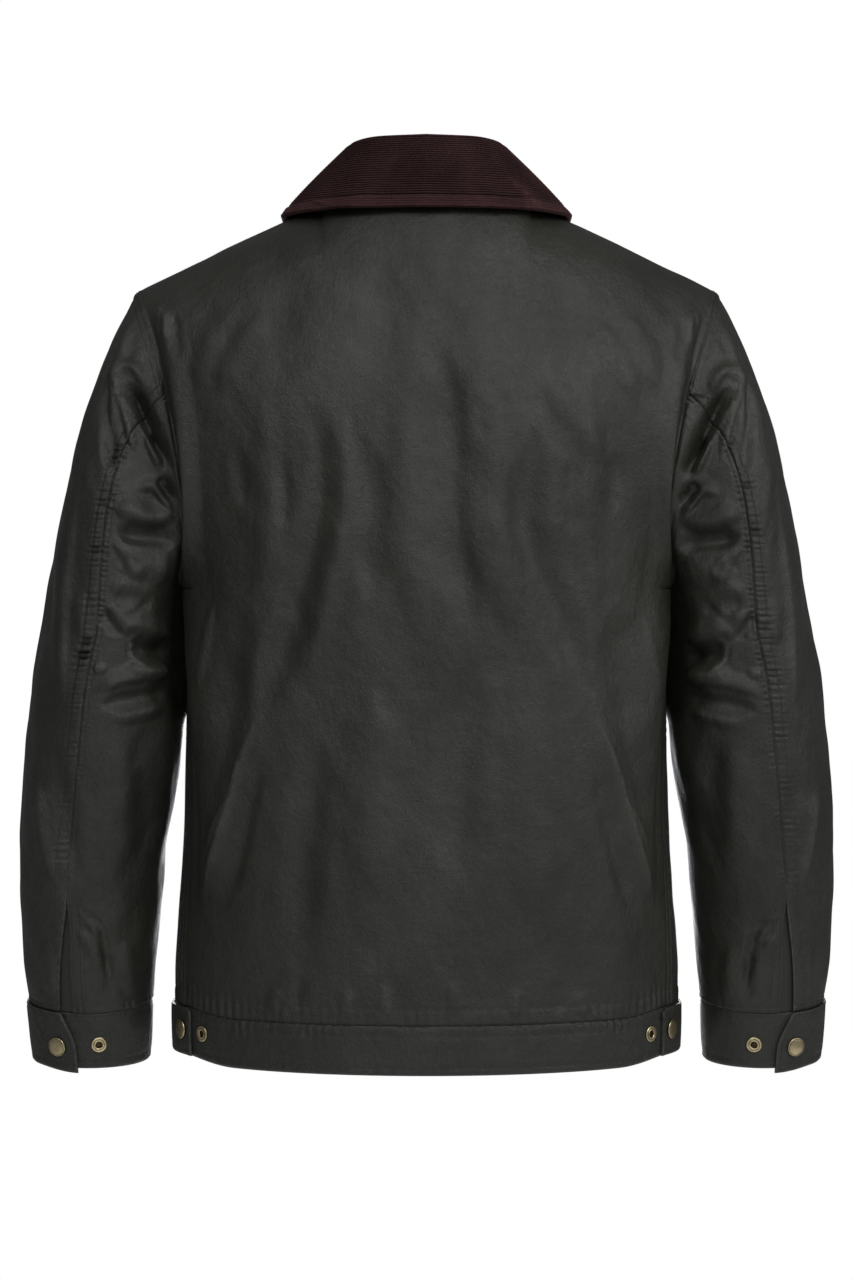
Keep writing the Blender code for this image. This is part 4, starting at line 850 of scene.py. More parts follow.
class Cloth:
    """A fine grid over the outside of a piece: its points, normals, and distances from its own four sides."""

    def __init__(self, points, normal):
        self.points, self.normal = points, normal
        across = np.linalg.norm(np.diff(points, axis=1), axis=-1)
        along = np.linalg.norm(np.diff(points, axis=0), axis=-1)
        self.first = np.pad(np.cumsum(across, axis=1), ((0, 0), (1, 0)))
        self.last = self.first[:, -1:] - self.first
        self.low = np.pad(np.cumsum(along, axis=0), ((1, 0), (0, 0)))
        self.top = self.low[-1:] - self.low
        self.smooth, self.fine = np.zeros(points.shape[:2]), np.zeros(points.shape[:2])
        self.marks = {"crease": np.zeros(points.shape[:2]), "worn": np.zeros(points.shape[:2])}

    def outside(self):
        return self.points + self.normal * (self.smooth + self.fine)[..., None]

    def inside(self, wall):
        """The points of the coarser inner grid."""
        step = bpy.context.scene.jacket_cloth.thinning
        rows, columns = (spread(count, step) for count in self.smooth.shape)
        inner = self.points + self.normal * (self.smooth - wall)[..., None]
        return inner[np.ix_(rows, columns)], rows, columns

    def sewn(self, side, seed, seam, window=1.0):
        """Works a seam into one side: a groove, the doubled cloth behind it, and puckers across it."""
        away, (allowance, height, pucker, pitch) = getattr(self, side), seam
        if side in ("low", "top"):
            along = self.first[:1] if side == "low" else self.first[-1:]
        else:
            column, level = 0 if side == "first" else -1, self.points[..., 2]
            order = np.argsort(level[:, column])
            along = np.interp(level, level[order, column], self.low[order, column])
        size = bpy.context.scene.jacket_cloth.pucker * pucker
        groove = -0.0007 * pressed(away, 0.0, 0.0013)
        doubled = height * ease(away / 0.002) * ease((allowance + 0.0005 - away) / 0.0014)
        stitched = -0.0004 * pressed(away, allowance, 0.0015)
        ripple = size * waves(along, pitch, seed) * pressed(away, 0.55 * allowance, 0.75 * allowance)
        self.fine = self.fine + window * (groove + doubled + stitched + ripple * ease(away / 0.0016))

    def rubbed(self, side, reach=0.0014):
        """Marks one side as an edge that is worn paler."""
        self.marks["worn"] = np.maximum(self.marks["worn"], pressed(getattr(self, side), 0.0, reach))

    def rounded(self, side, reach=0.0016, depth=0.0007):
        """Rounds one side over, as folded cloth is."""
        away = np.clip(getattr(self, side) / reach, 0, 1)
        self.fine = self.fine - depth * (1 - np.sqrt(1 - (1 - away) ** 2))

    def line(self, side, distance, start=0.0, end=1.0):
        """The curve that keeps a distance from one side, with the normals along it."""
        away, outside, normal = getattr(self, side), self.outside(), self.normal
        if side in ("low", "top"):
            away, outside, normal = away.T, outside.transpose(1, 0, 2), normal.transpose(1, 0, 2)
        count = len(away)
        picked = slice(int(start * (count - 1)), int(end * (count - 1)) + 1)
        found = []
        for row_away, row, row_normal in zip(away[picked], outside[picked], normal[picked]):
            order = np.argsort(row_away)
            columns = np.concatenate([row, row_normal], axis=1)[order].T
            found.append([np.interp(distance, row_away[order], column) for column in columns])
        found = np.array(found)
        return found[:, :3], found[:, 3:]


def wall_object(name, cloth, outer, inner, picked, side=1, material=None):
    """A closed wall between a fine outer grid and a coarser inner one, with its cloth map and the marks of
    its cloth: wear, and on the collar the rib mark by which shade is painted between the ribs.
    """
    rows, columns = outer.shape[:2]
    top = np.arange(rows * columns).reshape(rows, columns)
    under = rows * columns + np.arange(inner.shape[0] * inner.shape[1]).reshape(inner.shape[:2])
    faces = []
    for index, turned in ((top, False), (under, True)):
        corners = [index[:-1, :-1], index[:-1, 1:], index[1:, 1:], index[1:, :-1]]
        squares = np.stack(corners[::-1] if turned else corners, axis=-1).reshape(-1, 4)
        faces += squares.tolist()
    sides = [(top[0], under[0], True), (top[-1], under[-1], False)]
    sides += [(top[:, 0], under[:, 0], False), (top[:, -1], under[:, -1], True)]
    for first, second, turned in sides:
        strip = strip_between(first.tolist(), second.tolist())
        faces += [tri[::-1] for tri in strip] if turned else strip
    points = flip(np.concatenate([outer.reshape(-1, 3), inner.reshape(-1, 3)]), side)
    mesh = bpy.data.meshes.new(name)
    mesh.from_pydata(points.tolist(), [], faces)
    face_out(mesh)

    chart = np.stack([(cloth.first - cloth.last) / 2, cloth.low], axis=-1)
    chart = np.concatenate([chart.reshape(-1, 2), chart[np.ix_(*picked)].reshape(-1, 2)])
    add_map(mesh, chart)
    for mark, values in cloth.marks.items():
        inside = np.full(len(points) - rows * columns, np.median(values))
        whole = np.concatenate([values.ravel(), inside])
        layer = mesh.attributes.new(mark, "FLOAT", "POINT")
        layer.data.foreach_set("value", whole.astype(np.float32))
    return add_piece(name, mesh, material or waxed_material())


def add_map(mesh, chart):
    """A UV map in metres of cloth, from one pair of numbers for each vertex."""
    corners = np.zeros(len(mesh.loops), np.int32)
    mesh.loops.foreach_get("vertex_index", corners)
    layer = mesh.uv_layers.new(name="cloth")
    layer.data.foreach_set("uv", chart[corners].astype(np.float32).ravel())


def face_out(mesh):
    """Turns a closed mesh's faces outward, by the sign of its volume."""
    mesh.calc_loop_triangles()
    corners = np.zeros(len(mesh.loop_triangles) * 3, np.int32)
    mesh.loop_triangles.foreach_get("vertices", corners)
    points = np.zeros(len(mesh.vertices) * 3, np.float32)
    mesh.vertices.foreach_get("co", points)
    a, b, c = points.reshape(-1, 3)[corners.reshape(-1, 3)].transpose(1, 0, 2).astype(float)
    if np.sum(a * np.cross(b, c)) < 0:
        mesh.flip_normals()


def add_piece(name, mesh, material):
    mesh.shade_smooth()
    mesh.set_sharp_from_angle(angle=math.radians(55))
    mesh.materials.append(material)
    made = bpy.data.objects.new(name, mesh)
    bpy.context.scene.collection.objects.link(made)
    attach(made, "root")
    return made


def rows_at(places, walked, rows):
    """Rows of numbers that belong to the distances walked along a line, read off at other distances."""
    return np.stack([np.interp(places, walked, column) for column in rows.T], axis=-1)


def sew(name, lines, material=None):
    """One piece of topstitching: a short raised stitch at every pitch along each line."""
    stitch = bpy.context.scene.jacket_stitch
    points, faces = [], []
    for line, normal in lines:
        step = np.linalg.norm(np.diff(line, axis=0), axis=-1)
        walked = np.concatenate([[0.0], np.cumsum(step)])
        count = int(walked[-1] / stitch.pitch)
        if count < 1:
            continue
        centres = (np.arange(count) + 0.5) * walked[-1] / count
        place, up = rows_at(centres, walked, line), unit(rows_at(centres, walked, normal))
        ahead, behind = (rows_at(centres + step, walked, line) for step in (STITCH_AHEAD, -STITCH_AHEAD))
        along = unit(ahead - behind)
        wide = unit(np.cross(along, up))
        for p, a, n, w in zip(place, along * stitch.length, up * stitch.width, wide * stitch.width):
            start = len(points)
            points.append(p - a / 2 - n * STITCH_DIP)
            for share in (-STITCH_FLAT, STITCH_FLAT):
                points += [p + a * share + w * x + n * (y + STITCH_LIFT) for x, y in THREAD_SECTION]
            points.append(p + a / 2 - n * STITCH_DIP)
            for k in range(4):
                m = (k + 1) % 4
                low, high, low_next, high_next = (start + i for i in (1 + k, 5 + k, 1 + m, 5 + m))
                faces += [(start, low_next, low), (low, low_next, high_next, high)]
                faces.append((start + 9, high, high_next))
    mesh = bpy.data.meshes.new(name)
    mesh.from_pydata([tuple(p) for p in points], [], faces)
    face_out(mesh)
    add_piece(name, mesh, material or thread_material())


def mirrored(lines, side):
    """The lines of the left as they run on that side."""
    return [(flip(line, side), flip(normal, side)) for line, normal in lines]


def stand_for(node):
    """Hides the solid that a cloth piece stands for."""
    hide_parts(node)


# ---- materials


def place(tree, kind, values=None, **settings):
    """A shader node with its settings, and the values or links of its inputs."""
    made = tree.nodes.new(kind)
    for key, value in settings.items():
        setattr(made, key, value)
    for key, value in (values or {}).items():
        if isinstance(value, bpy.types.NodeSocket):
            tree.links.new(value, made.inputs[key])
        else:
            made.inputs[key].default_value = value
    return made


def group_tree(name, inputs, outputs):
    """An empty shader group with its inner sockets; an input without a value is a vector."""
    tree = bpy.data.node_groups.new(name, "ShaderNodeTree")
    for label, value in inputs.items():
        kind = "NodeSocketVector" if value is None else "NodeSocketFloat"
        socket = tree.interface.new_socket(label, in_out="INPUT", socket_type=kind)
        if value is not None:
            socket.default_value = value
    for label in outputs:
        tree.interface.new_socket(label, in_out="OUTPUT", socket_type="NodeSocketFloat")
    return tree, tree.nodes.new("NodeGroupInput").outputs, tree.nodes.new("NodeGroupOutput").inputs


def math_node(tree, operation, *values, clamp=False):
    values = dict(enumerate(values))
    return place(tree, "ShaderNodeMath", values, operation=operation, use_clamp=clamp).outputs[0]


def noise(tree, where, scale, detail, roughness=0.5, distortion=0.0):
    values = {"Vector": where, "Scale": scale, "Detail": detail}
    values |= {"Roughness": roughness, "Distortion": distortion}
    return place(tree, "ShaderNodeTexNoise", values).outputs[0]


def weave_group():
    """Crossing threads of a plain weave with uneven slubs, as a height from 0 to 1."""
    if "weave" in bpy.data.node_groups:
        return bpy.data.node_groups["weave"]
    tree, given, out = group_tree("weave", {"Cloth": None, "Threads": 1600.0, "Slub": 0.3}, ["Height"])
    parts = place(tree, "ShaderNodeSeparateXYZ", {0: given["Cloth"]})
    crossing = []
    for axis in ("X", "Y"):
        turns = math_node(tree, "MULTIPLY", parts.outputs[axis], given["Threads"])
        crossing.append(math_node(tree, "SINE", math_node(tree, "MULTIPLY", turns, 2 * math.pi)))
    checks = math_node(tree, "MULTIPLY", *crossing)
    raised = math_node(tree, "MULTIPLY_ADD", checks, 0.5, 0.5)
    slub = math_node(tree, "MULTIPLY", noise(tree, given["Cloth"], 260.0, 2.0), given["Slub"])
    tree.links.new(math_node(tree, "ADD", raised, slub), out["Height"])
    return tree


def mottle_group():
    """Uneven wax: soft clouds with finer specks, as a mask from 0 to 1."""
    if "mottle" in bpy.data.node_groups:
        return bpy.data.node_groups["mottle"]
    inputs = {"Place": None, "Clouds": 9.0, "Specks": 60.0, "Speck Share": 0.35}
    tree, given, out = group_tree("mottle", inputs, ["Mask", "Speck"])
    clouds = noise(tree, given["Place"], given["Clouds"], 3.0, 0.55, 0.4)
    specks = noise(tree, given["Place"], given["Specks"], 4.0, 0.6)
    both = place(
        tree, "ShaderNodeMix", {"Factor": given["Speck Share"], "A": clouds, "B": specks}, data_type="FLOAT",
    )
    spread_out = place(
        tree, "ShaderNodeMapRange",
        {"Value": both.outputs["Result"], "From Min": 0.32, "From Max": 0.68},
        interpolation_type="SMOOTHSTEP",
    )
    tree.links.new(spread_out.outputs["Result"], out["Mask"])
    tree.links.new(specks, out["Speck"])
    return tree


def wear_group():
    """Broken-up wear: a mark on the cloth, thinned by noise."""
    if "wear" in bpy.data.node_groups:
        return bpy.data.node_groups["wear"]
    inputs = {"Mark": 0.0, "Place": None, "Scale": 300.0, "Amount": 0.7}
    tree, given, out = group_tree("wear", inputs, ["Mask"])
    values = {"Value": noise(tree, given["Place"], given["Scale"], 3.0), "From Min": 0.30, "From Max": 0.62}
    broken = place(tree, "ShaderNodeMapRange", values).outputs["Result"]
    kept = math_node(tree, "MULTIPLY", given["Mark"], broken)
    tree.links.new(math_node(tree, "MULTIPLY", kept, given["Amount"], clamp=True), out["Mask"])
    return tree


def weave(tree, threads):
    """Height of a plain weave with so many threads to the metre."""
    chart = place(tree, "ShaderNodeUVMap", uv_map="cloth").outputs["UV"]
    values = {"Cloth": chart, "Threads": threads, "Slub": 0.8}
    return place(tree, "ShaderNodeGroup", values, node_tree=weave_group()).outputs["Height"]


def mottle(tree, where, clouds, specks, share):
    """Mask and specks of an uneven surface, by the scales of its clouds and specks and the specks' share."""
    values = {"Place": where, "Clouds": clouds, "Specks": specks, "Speck Share": share}
    made = place(tree, "ShaderNodeGroup", values, node_tree=mottle_group())
    return made.outputs["Mask"], made.outputs["Speck"]


def wear(tree, mark, where, scale, amount):
    """Mask of the wear at one of the cloth's marks."""
    values = {"Mark": mark, "Place": where, "Scale": scale, "Amount": amount}
    return place(tree, "ShaderNodeGroup", values, node_tree=wear_group()).outputs["Mask"]


def object_place(tree):
    return place(tree, "ShaderNodeTexCoord").outputs["Object"]


def marked(tree, name):
    """One of the marks that a mesh carries at its points."""
    return place(tree, "ShaderNodeAttribute", attribute_name=name).outputs["Fac"]


def shaded(color, share):
    return tuple(c * share for c in color)


def feed(tree, shader, color, roughness, normal):
    """Links what changes over a surface to its shader."""
    for name, value in (("Base Color", color), ("Roughness", roughness), ("Normal", normal)):
        tree.links.new(value, shader.inputs[name])


def new_material(name, roughness, metallic=0.0, specular=0.5):
    """A material with a Principled shader, and its tree."""
    material = bpy.data.materials.new(name)
    material.use_nodes = True
    shader = material.node_tree.nodes["Principled BSDF"]
    shader.inputs["Roughness"].default_value = roughness
    shader.inputs["Metallic"].default_value = metallic
    shader.inputs["Specular IOR Level"].default_value = specular
    return material, material.node_tree, shader


def blended(tree, mask, first, second):
    """A colour that goes from the first to the second by a mask."""
    mixed = place(tree, "ShaderNodeMix", {"Factor": mask}, data_type="RGBA")
    for key, value in (("A", first), ("B", second)):
        socket = next(s for s in mixed.inputs if s.name == key and s.type == "RGBA")
        if isinstance(value, bpy.types.NodeSocket):
            tree.links.new(value, socket)
        else:
            socket.default_value = (*value, 1.0)
    return next(s for s in mixed.outputs if s.type == "RGBA")


def ranged(tree, value, low, high):
    """A mask from 0 to 1 turned into a value between low and high."""
    values = {"Value": value, "To Min": low, "To Max": high}
    return place(tree, "ShaderNodeMapRange", values).outputs["Result"]


def bump(tree, height, distance, strength, below=None):
    values = {"Height": height, "Distance": distance, "Strength": strength}
    if below is not None:
        values["Normal"] = below
    return place(tree, "ShaderNodeBump", values).outputs["Normal"]


def waxed_material():
    """Dark olive cotton with uneven wax, pale cracks along creases and a fine plain weave."""
    if "waxed_cotton_cloth" in bpy.data.materials:
        return bpy.data.materials["waxed_cotton_cloth"]
    finish = bpy.context.scene.jacket_finish
    material, tree, shader = new_material("waxed_cotton_cloth", 0.5, specular=0.42)
    where = object_place(tree)
    clouds, _ = mottle(tree, where, 9.0, 70.0, 0.3)
    flecks, _ = mottle(tree, where, 330.0, 900.0, 0.5)
    deep = blended(tree, flecks, shaded(finish.waxed, 0.45), finish.waxed)
    pale = blended(tree, flecks, finish.waxed, shaded(finish.waxed, 1.75))
    base = blended(tree, clouds, deep, pale)
    base = blended(tree, wear(tree, marked(tree, "crease"), where, 420.0, 0.75), base, finish.cracked)
    base = blended(tree, wear(tree, marked(tree, "worn"), where, 300.0, 0.8), base, finish.cracked)
    shine = math_node(tree, "MULTIPLY", math_node(tree, "ADD", clouds, flecks), 0.5)
    drawn_out = place(tree, "ShaderNodeMapping", {"Vector": where, "Scale": (1.0, 1.0, 0.8)}).outputs[0]
    crumpled = bump(tree, noise(tree, drawn_out, 52.0, 7.0, 0.66), 0.0026, 0.9)
    grained = bump(tree, noise(tree, where, 900.0, 2.0), 0.0006, 0.8, crumpled)
    woven = bump(tree, weave(tree, 1500.0), 0.00005, 0.35, grained)
    feed(tree, shader, base, ranged(tree, shine, 0.62, 0.44), woven)
    return material


def gusset_material():
    """Plain matt cloth with an open weave."""
    if "gusset_plain_cloth" in bpy.data.materials:
        return bpy.data.materials["gusset_plain_cloth"]
    color = bpy.context.scene.jacket_finish.gusset
    material, tree, shader = new_material("gusset_plain_cloth", 0.8, specular=0.4)
    clouds, specks = mottle(tree, object_place(tree), 30.0, 220.0, 0.5)
    base = blended(tree, clouds, shaded(color, 0.8), color)
    woven = bump(tree, weave(tree, 1100.0), 0.00014, 0.6)
    feed(tree, shader, base, ranged(tree, specks, 0.55, 0.75), woven)
    return material


def corduroy_material():
    """Brown cotton pile, paler on brushed patches, with painted light on the ribs' crests and painted shade
    between the ribs.
    """
    if "corduroy_pile" in bpy.data.materials:
        return bpy.data.materials["corduroy_pile"]
    color = bpy.context.scene.jacket_finish.corduroy
    material, tree, shader = new_material("corduroy_pile", 0.95, specular=0.06)
    shader.inputs["Sheen Weight"].default_value = 0.12
    shader.inputs["Sheen Roughness"].default_value = 0.45
    shader.inputs["Sheen Tint"].default_value = (0.62, 0.34, 0.33, 1.0)
    where = object_place(tree)
    brushed, specks = mottle(tree, where, 26.0, 620.0, 0.5)
    # Painted light and shade: the rib crests are lifted to 1.2 to 3 times the pile's colour, and the rib
    # height mark paints the valleys between the ribs near black.
    painted_lit_rib_tops = blended(tree, brushed, shaded(color, 1.2), shaded(color, 3.0))
    base = blended(tree, marked(tree, "rib"), shaded(color, 0.06), painted_lit_rib_tops)
    base = blended(tree, wear(tree, marked(tree, "crease"), where, 260.0, 0.9), base, shaded(color, 4.0))
    base = blended(tree, wear(tree, marked(tree, "worn"), where, 260.0, 0.6), base, shaded(color, 3.0))
    feed(tree, shader, base, ranged(tree, specks, 0.85, 1.0), bump(tree, specks, 0.0006, 0.5))
    return material


def brass_material():
    """Old brass: bright where it is rubbed, brown with patina in its grooves, and with painted shade under
    the cap's rim and in the socket's hole.
    """
    if "rubbed_brass" in bpy.data.materials:
        return bpy.data.materials["rubbed_brass"]
    color = bpy.context.scene.jacket_finish.brass
    material, tree, shader = new_material("rubbed_brass", 0.35, metallic=1.0)
    where, hollow = object_place(tree), marked(tree, "hollow")
    tarnish, specks = mottle(tree, where, 140.0, 900.0, 0.35)
    # The hollow mark paints the brass near black: patina in its grooves, and painted shade under the cap's
    # rim and in the socket's hole.
    base = blended(tree, hollow, blended(tree, tarnish, color, shaded(color, 0.55)), (0.045, 0.030, 0.014))
    base = blended(tree, wear(tree, hollow, where, 700.0, 1.0), base, (0.03, 0.02, 0.01))
    feed(tree, shader, base, ranged(tree, tarnish, 0.26, 0.44), bump(tree, specks, 0.0002, 0.25))
    return material


def thread_material():
    """Waxed thread with its twist."""
    if "waxed_thread" in bpy.data.materials:
        return bpy.data.materials["waxed_thread"]
    color = bpy.context.scene.jacket_finish.thread
    material, tree, shader = new_material("waxed_thread", 0.62, specular=0.35)
    where = object_place(tree)
    clouds, specks = mottle(tree, where, 60.0, 900.0, 0.5)
    base = blended(tree, clouds, shaded(color, 0.75), color)
    twist = place(tree, "ShaderNodeTexWave", {"Vector": where, "Scale": 900.0}, bands_direction="DIAGONAL")
    twisted = bump(tree, twist.outputs["Fac"], 0.0001, 0.4)
    feed(tree, shader, base, ranged(tree, specks, 0.55, 0.75), twisted)
    return material


def floor_material():
    """Pale seamless paper."""
    material, tree, shader = new_material("pale_floor", 0.9, specular=0.2)
    clouds, _ = mottle(tree, object_place(tree), 2.0, 90.0, 0.3)
    base = blended(tree, clouds, (0.80, 0.80, 0.79), (0.84, 0.84, 0.83))
    tree.links.new(base, shader.inputs["Base Color"])
    return material


# ---- body pieces

BODY_STEPS, FRONT_STEPS = 130, 72  # columns from the middle to the side
LOWER_ROWS, UPPER_ROWS = 124, 112
HEM_ROWS = 24
COLUMN_CROWDING, ROW_CROWDING = 1.22, 1.3  # how much closer the grid is at the panels' edges and hem


def body_rows():
    """Heights of the rows, and the armhole's turn at those above the armpit, closest at its two ends."""
    lower = HEM_TOP + (ARMPIT - HEM_TOP) * np.linspace(0, 1, LOWER_ROWS + 1) ** ROW_CROWDING
    share = np.linspace(0, 1, UPPER_ROWS + 1)
    turns = 180 * (1 - (0.4 * share + 0.6 * np.arccos(1 - 2 * share) / np.pi))
    return np.concatenate([lower, armhole_height(turns[1:])]), turns


def half_columns(steps):
    """Places across half a panel, closest at its edge."""
    return 1 - (1 - np.linspace(0, 1, steps + 1)) ** COLUMN_CROWDING


def panel_columns():
    """Places of the columns across the back, the left front and the right front."""
    back, front = half_columns(BODY_STEPS), half_columns(FRONT_STEPS)
    front[0] = FRONT_GAP
    return np.concatenate([-back[:0:-1], back]), front, -front[::-1]


def calm_middle(cloth, front, over):
    """Share of the cloth's sway that is kept, none under the storm flap."""
    return ease((np.abs(cloth.points[..., 0]) - 0.040) / over) if front else 1.0


def body_panel(node, across, front, seed):
    """A body panel with folds, mitred along the armhole, and the lines of its topstitching."""
    heights, turns = body_rows()
    grid = np.meshgrid(across, heights)
    cloth = Cloth(torso_base(*grid, front), torso_normal(*grid, front))
    lift, crease = body_relief(cloth.points, *grid, front)
    cloth.marks["crease"] = crease
    size = bpy.context.scene.jacket_cloth.sway
    outer_sides = [pair for pair in (("first", 0), ("last", -1)) if abs(across[pair[1]]) > 0.99]
    nearest = np.minimum(cloth.low, cloth.top)
    for side, _ in outer_sides:
        nearest = np.minimum(nearest, getattr(cloth, side))
    calm = ease(nearest / 0.03) * calm_middle(cloth, front, 0.02)
    cloth.smooth = lift + size * calm * sway(cloth.points[..., 0], cloth.points[..., 2], seed, 0.06)
    for side, _ in outer_sides:
        cloth.sewn(side, seed + 1, SIDE_SEAM, ease((ARMPIT - grid[1]) / 0.02))
        cloth.sewn(side, seed + 2, ARMHOLE_SEAM, ease((grid[1] - ARMPIT - 0.01) / 0.02))
    cloth.sewn("low", seed + 3, HEM_SEAM)
    cloth.sewn("top", seed + 4, SHOULDER_SEAM)
    outer = cloth.outside()
    inner, *picked = cloth.inside(CLOTH)
    if front:
        turns = -turns
    inward, apart = armhole_seam(turns)
    shoulder = -SEAM if front else SEAM
    inner_rows = picked[0] >= LOWER_ROWS
    turn_of_row = picked[0][inner_rows] - LOWER_ROWS
    for _, column in outer_sides:
        hand = -1 if across[column] < 0 else 1
        edge = flip(armhole_point(turns), hand) + flip(SEAM * apart, hand)
        outer[LOWER_ROWS:, column] = edge
        inner[inner_rows, column] = (edge - flip(CLOTH * inward, hand))[turn_of_row]
        outer[: LOWER_ROWS + 1, column, 1] += shoulder
        inner[picked[0] <= LOWER_ROWS, column, 1] += shoulder
    outer[-1, :, 1] += shoulder
    inner[-1, :, 1] += shoulder
    made = wall_object(node + "_cloth", cloth, outer, inner, picked)
    stand_for(node)
    armpit = LOWER_ROWS / (len(heights) - 1)
    lines = [cloth.line("low", EDGE_STITCH)]
    for side, _ in outer_sides:
        lines += [cloth.line(side, SIDE_STITCH, 0.0, armpit), cloth.line(side, SIDE_SEAM[0], 0.0, armpit)]
        lines.append(cloth.line(side, ARMHOLE_SEAM[0], armpit + 0.02, 1.0))
    neck = NECK_SHARE_FRONT if front else NECK_SHARE_BACK
    reach = np.abs(across)
    for hand in (1, -1):
        shoulder_part = np.flatnonzero((across * hand > 0) & (reach > neck + 0.04))
        if len(shoulder_part) > 4:
            start, end = (shoulder_part[[0, -1]] / (len(across) - 1)).tolist()
            lines.append(cloth.line("top", SHOULDER_STITCH, start, end))
    return lines


class JACKET_OT_body(bpy.types.Operator):
    """Back and two fronts of waxed cotton"""

    bl_idname = "jacket.body"
    bl_label = "Body"

    def execute(self, context):
        back, left, right = panel_columns()
        lines = body_panel("back", back, False, 11)
        lines += body_panel("front_left", left, True, 23)
        lines += body_panel("front_right", right, True, 37)
        sew("body_stitches", lines)
        return {"FINISHED"}


def hem_band(node, across, front, seed):
    """One length of the hem band, with its seam puckers and rounded lower edge."""
    heights = np.linspace(HEM_LOW, HEM_TOP - HEM_GAP, HEM_ROWS + 1)
    grid = np.meshgrid(across, heights)
    cloth = Cloth(torso_base(*grid, front), torso_normal(*grid, front))
    lift, _ = body_relief(cloth.points, *grid, front)
    calm = ease(np.minimum(cloth.low, cloth.top) / 0.008) * calm_middle(cloth, front, 0.01)
    calm = calm * ease((np.minimum(cloth.first, cloth.last) - (0.030 if front else 0.055)) / 0.02)
    ripple = 0.0004 * calm * sway(cloth.points[..., 0], cloth.points[..., 2] * 0.4, seed, 0.05)
    cloth.smooth = HEM_PROUD + lift + ripple
    cloth.sewn("top", seed + 1, BAND_TOP)
    cloth.sewn("low", seed + 2, BAND_LOW)
    cloth.rounded("low")
    cloth.rounded("top", 0.0012, 0.0005)
    cloth.rubbed("low")
    outer = cloth.outside()
    inner, *picked = cloth.inside(BAND)
    for column in (0, -1):
        if abs(across[column]) > 0.99:
            for points in (outer, inner):
                points[:, column, 1] += -SEAM if front else SEAM
    made = wall_object(node + "_cloth", cloth, outer, inner, picked)
    stand_for(node)
    return [cloth.line("low", BAND_STITCH), cloth.line("top", EDGE_STITCH)]


def belt(turn, height, lift):
    """The left of the body below the armpit by its turn, 0 at the middle of the back and 180 in front."""
    edge = look_up(BODY, "turn", height)
    return np.where(
        (turn <= edge)[..., None],
        torso(turn / edge, height, False, lift),
        torso((180 - turn) / (180 - edge), height, True, lift),
    )


def grid_normals(points):
    """Normals of a grid from its own points, away from the body's middle line."""
    normal = unit(np.cross(np.gradient(points, axis=0), np.gradient(points, axis=1)))
    outward = points - points.mean(axis=(0, 1)) * [0.5, 0.0, 1.0]
    return normal if np.sum(normal * outward) > 0 else -normal


TAB_ROWS, TAB_COLUMNS = 22, 60


def tab_cloth():
    """Grid of the side tab, with a round upper corner at its end on the back."""
    share = np.linspace(0, 1, TAB_COLUMNS) ** 1.5
    turn = TAB_TURN_END + (TAB_TURN_START - TAB_TURN_END) * share
    half = (HEM_TOP - HEM_LOW) / 2 - TAB_INSET
    into = np.clip((turn - TAB_TURN_END) / TAB_ROUND, 0, 1)
    top = half - TAB_CORNER * (1 - np.sqrt(1 - (1 - into) ** 2))
    height = (HEM_TOP + HEM_LOW) / 2 - half + np.linspace(0, 1, TAB_ROWS)[:, None] * (top + half)
    grid = np.repeat(turn[None, :], TAB_ROWS, axis=0), height
    points = belt(*grid, HEM_PROUD + LAP + TAB_WALL)
    return Cloth(points, grid_normals(points))


class JACKET_OT_hem(bpy.types.Operator):
    """Hem band and its two side tabs"""

    bl_idname = "jacket.hem"
    bl_label = "Hem"

    def execute(self, context):
        back, left, right = panel_columns()
        lines = hem_band("hem_band_back", back, False, 51)
        lines += hem_band("hem_band_front_left", left, True, 61)
        lines += hem_band("hem_band_front_right", right, True, 67)
        tab = tab_cloth()
        for side_name in ("low", "top", "first"):
            tab.rounded(side_name, 0.0014, 0.0006)
            tab.rubbed(side_name)
        tab.fine = tab.fine - 0.0003 * pressed(np.minimum(tab.low, tab.top), TAB_STITCH, 0.0012)
        outer = tab.outside()
        inner, *picked = tab.inside(TAB_WALL)
        for word, side in (("left", 1), ("right", -1)):
            node = f"hem_tab_{word}"
            made = wall_object(node + "_cloth", tab, outer, inner, picked, side)
            stand_for(node)
        edges = [tab.line("low", TAB_STITCH, 0.06), tab.line("top", TAB_STITCH, 0.06)]
        edges.append(tab.line("first", TAB_STITCH, 0.12, 0.88))
        sew("hem_stitches", lines + edges + mirrored(edges, -1))
        return {"FINISHED"}


FLAP_ROWS, FLAP_COLUMNS = 240, 26


class JACKET_OT_flap(bpy.types.Operator):
    """Storm flap down the middle of the front"""

    bl_idname = "jacket.flap"
    bl_label = "Storm flap"

    def execute(self, context):
        share = 1 - (1 - np.linspace(0, 1, FLAP_ROWS)) ** 1.3
        heights = PLACKET_LOW + (PLACKET_TOP - PLACKET_LOW) * share
        across, height = torso_spot(*np.meshgrid(np.linspace(*PLACKET_X, FLAP_COLUMNS), heights), True)
        outside = torso(across, height, True, HEM_PROUD + LAP + BAND)
        cloth = Cloth(outside, torso_normal(across, height, True))
        for side in ("first", "last", "low", "top"):
            cloth.rounded(side, 0.0016, 0.0007)
            cloth.rubbed(side)
        edge = np.minimum(cloth.first, cloth.last)
        stitched = pressed(cloth.first, FLAP_STITCH, 0.0013) + pressed(cloth.last, FLAP_STITCH, 0.0013)
        ripple = waves(cloth.low, 0.011, 71) * pressed(edge, 0.004, 0.005)
        cloth.fine = cloth.fine - 0.0004 * stitched + 0.0003 * ripple
        outer = cloth.outside()
        inner, *picked = cloth.inside(BAND)
        made = wall_object("flap_cloth", cloth, outer, inner, picked)
        stand_for("placket")
        sew("flap_stitches", [cloth.line(side, FLAP_STITCH) for side in ("first", "last", "low")])
        return {"FINISHED"}


# ---- sleeves and cuffs

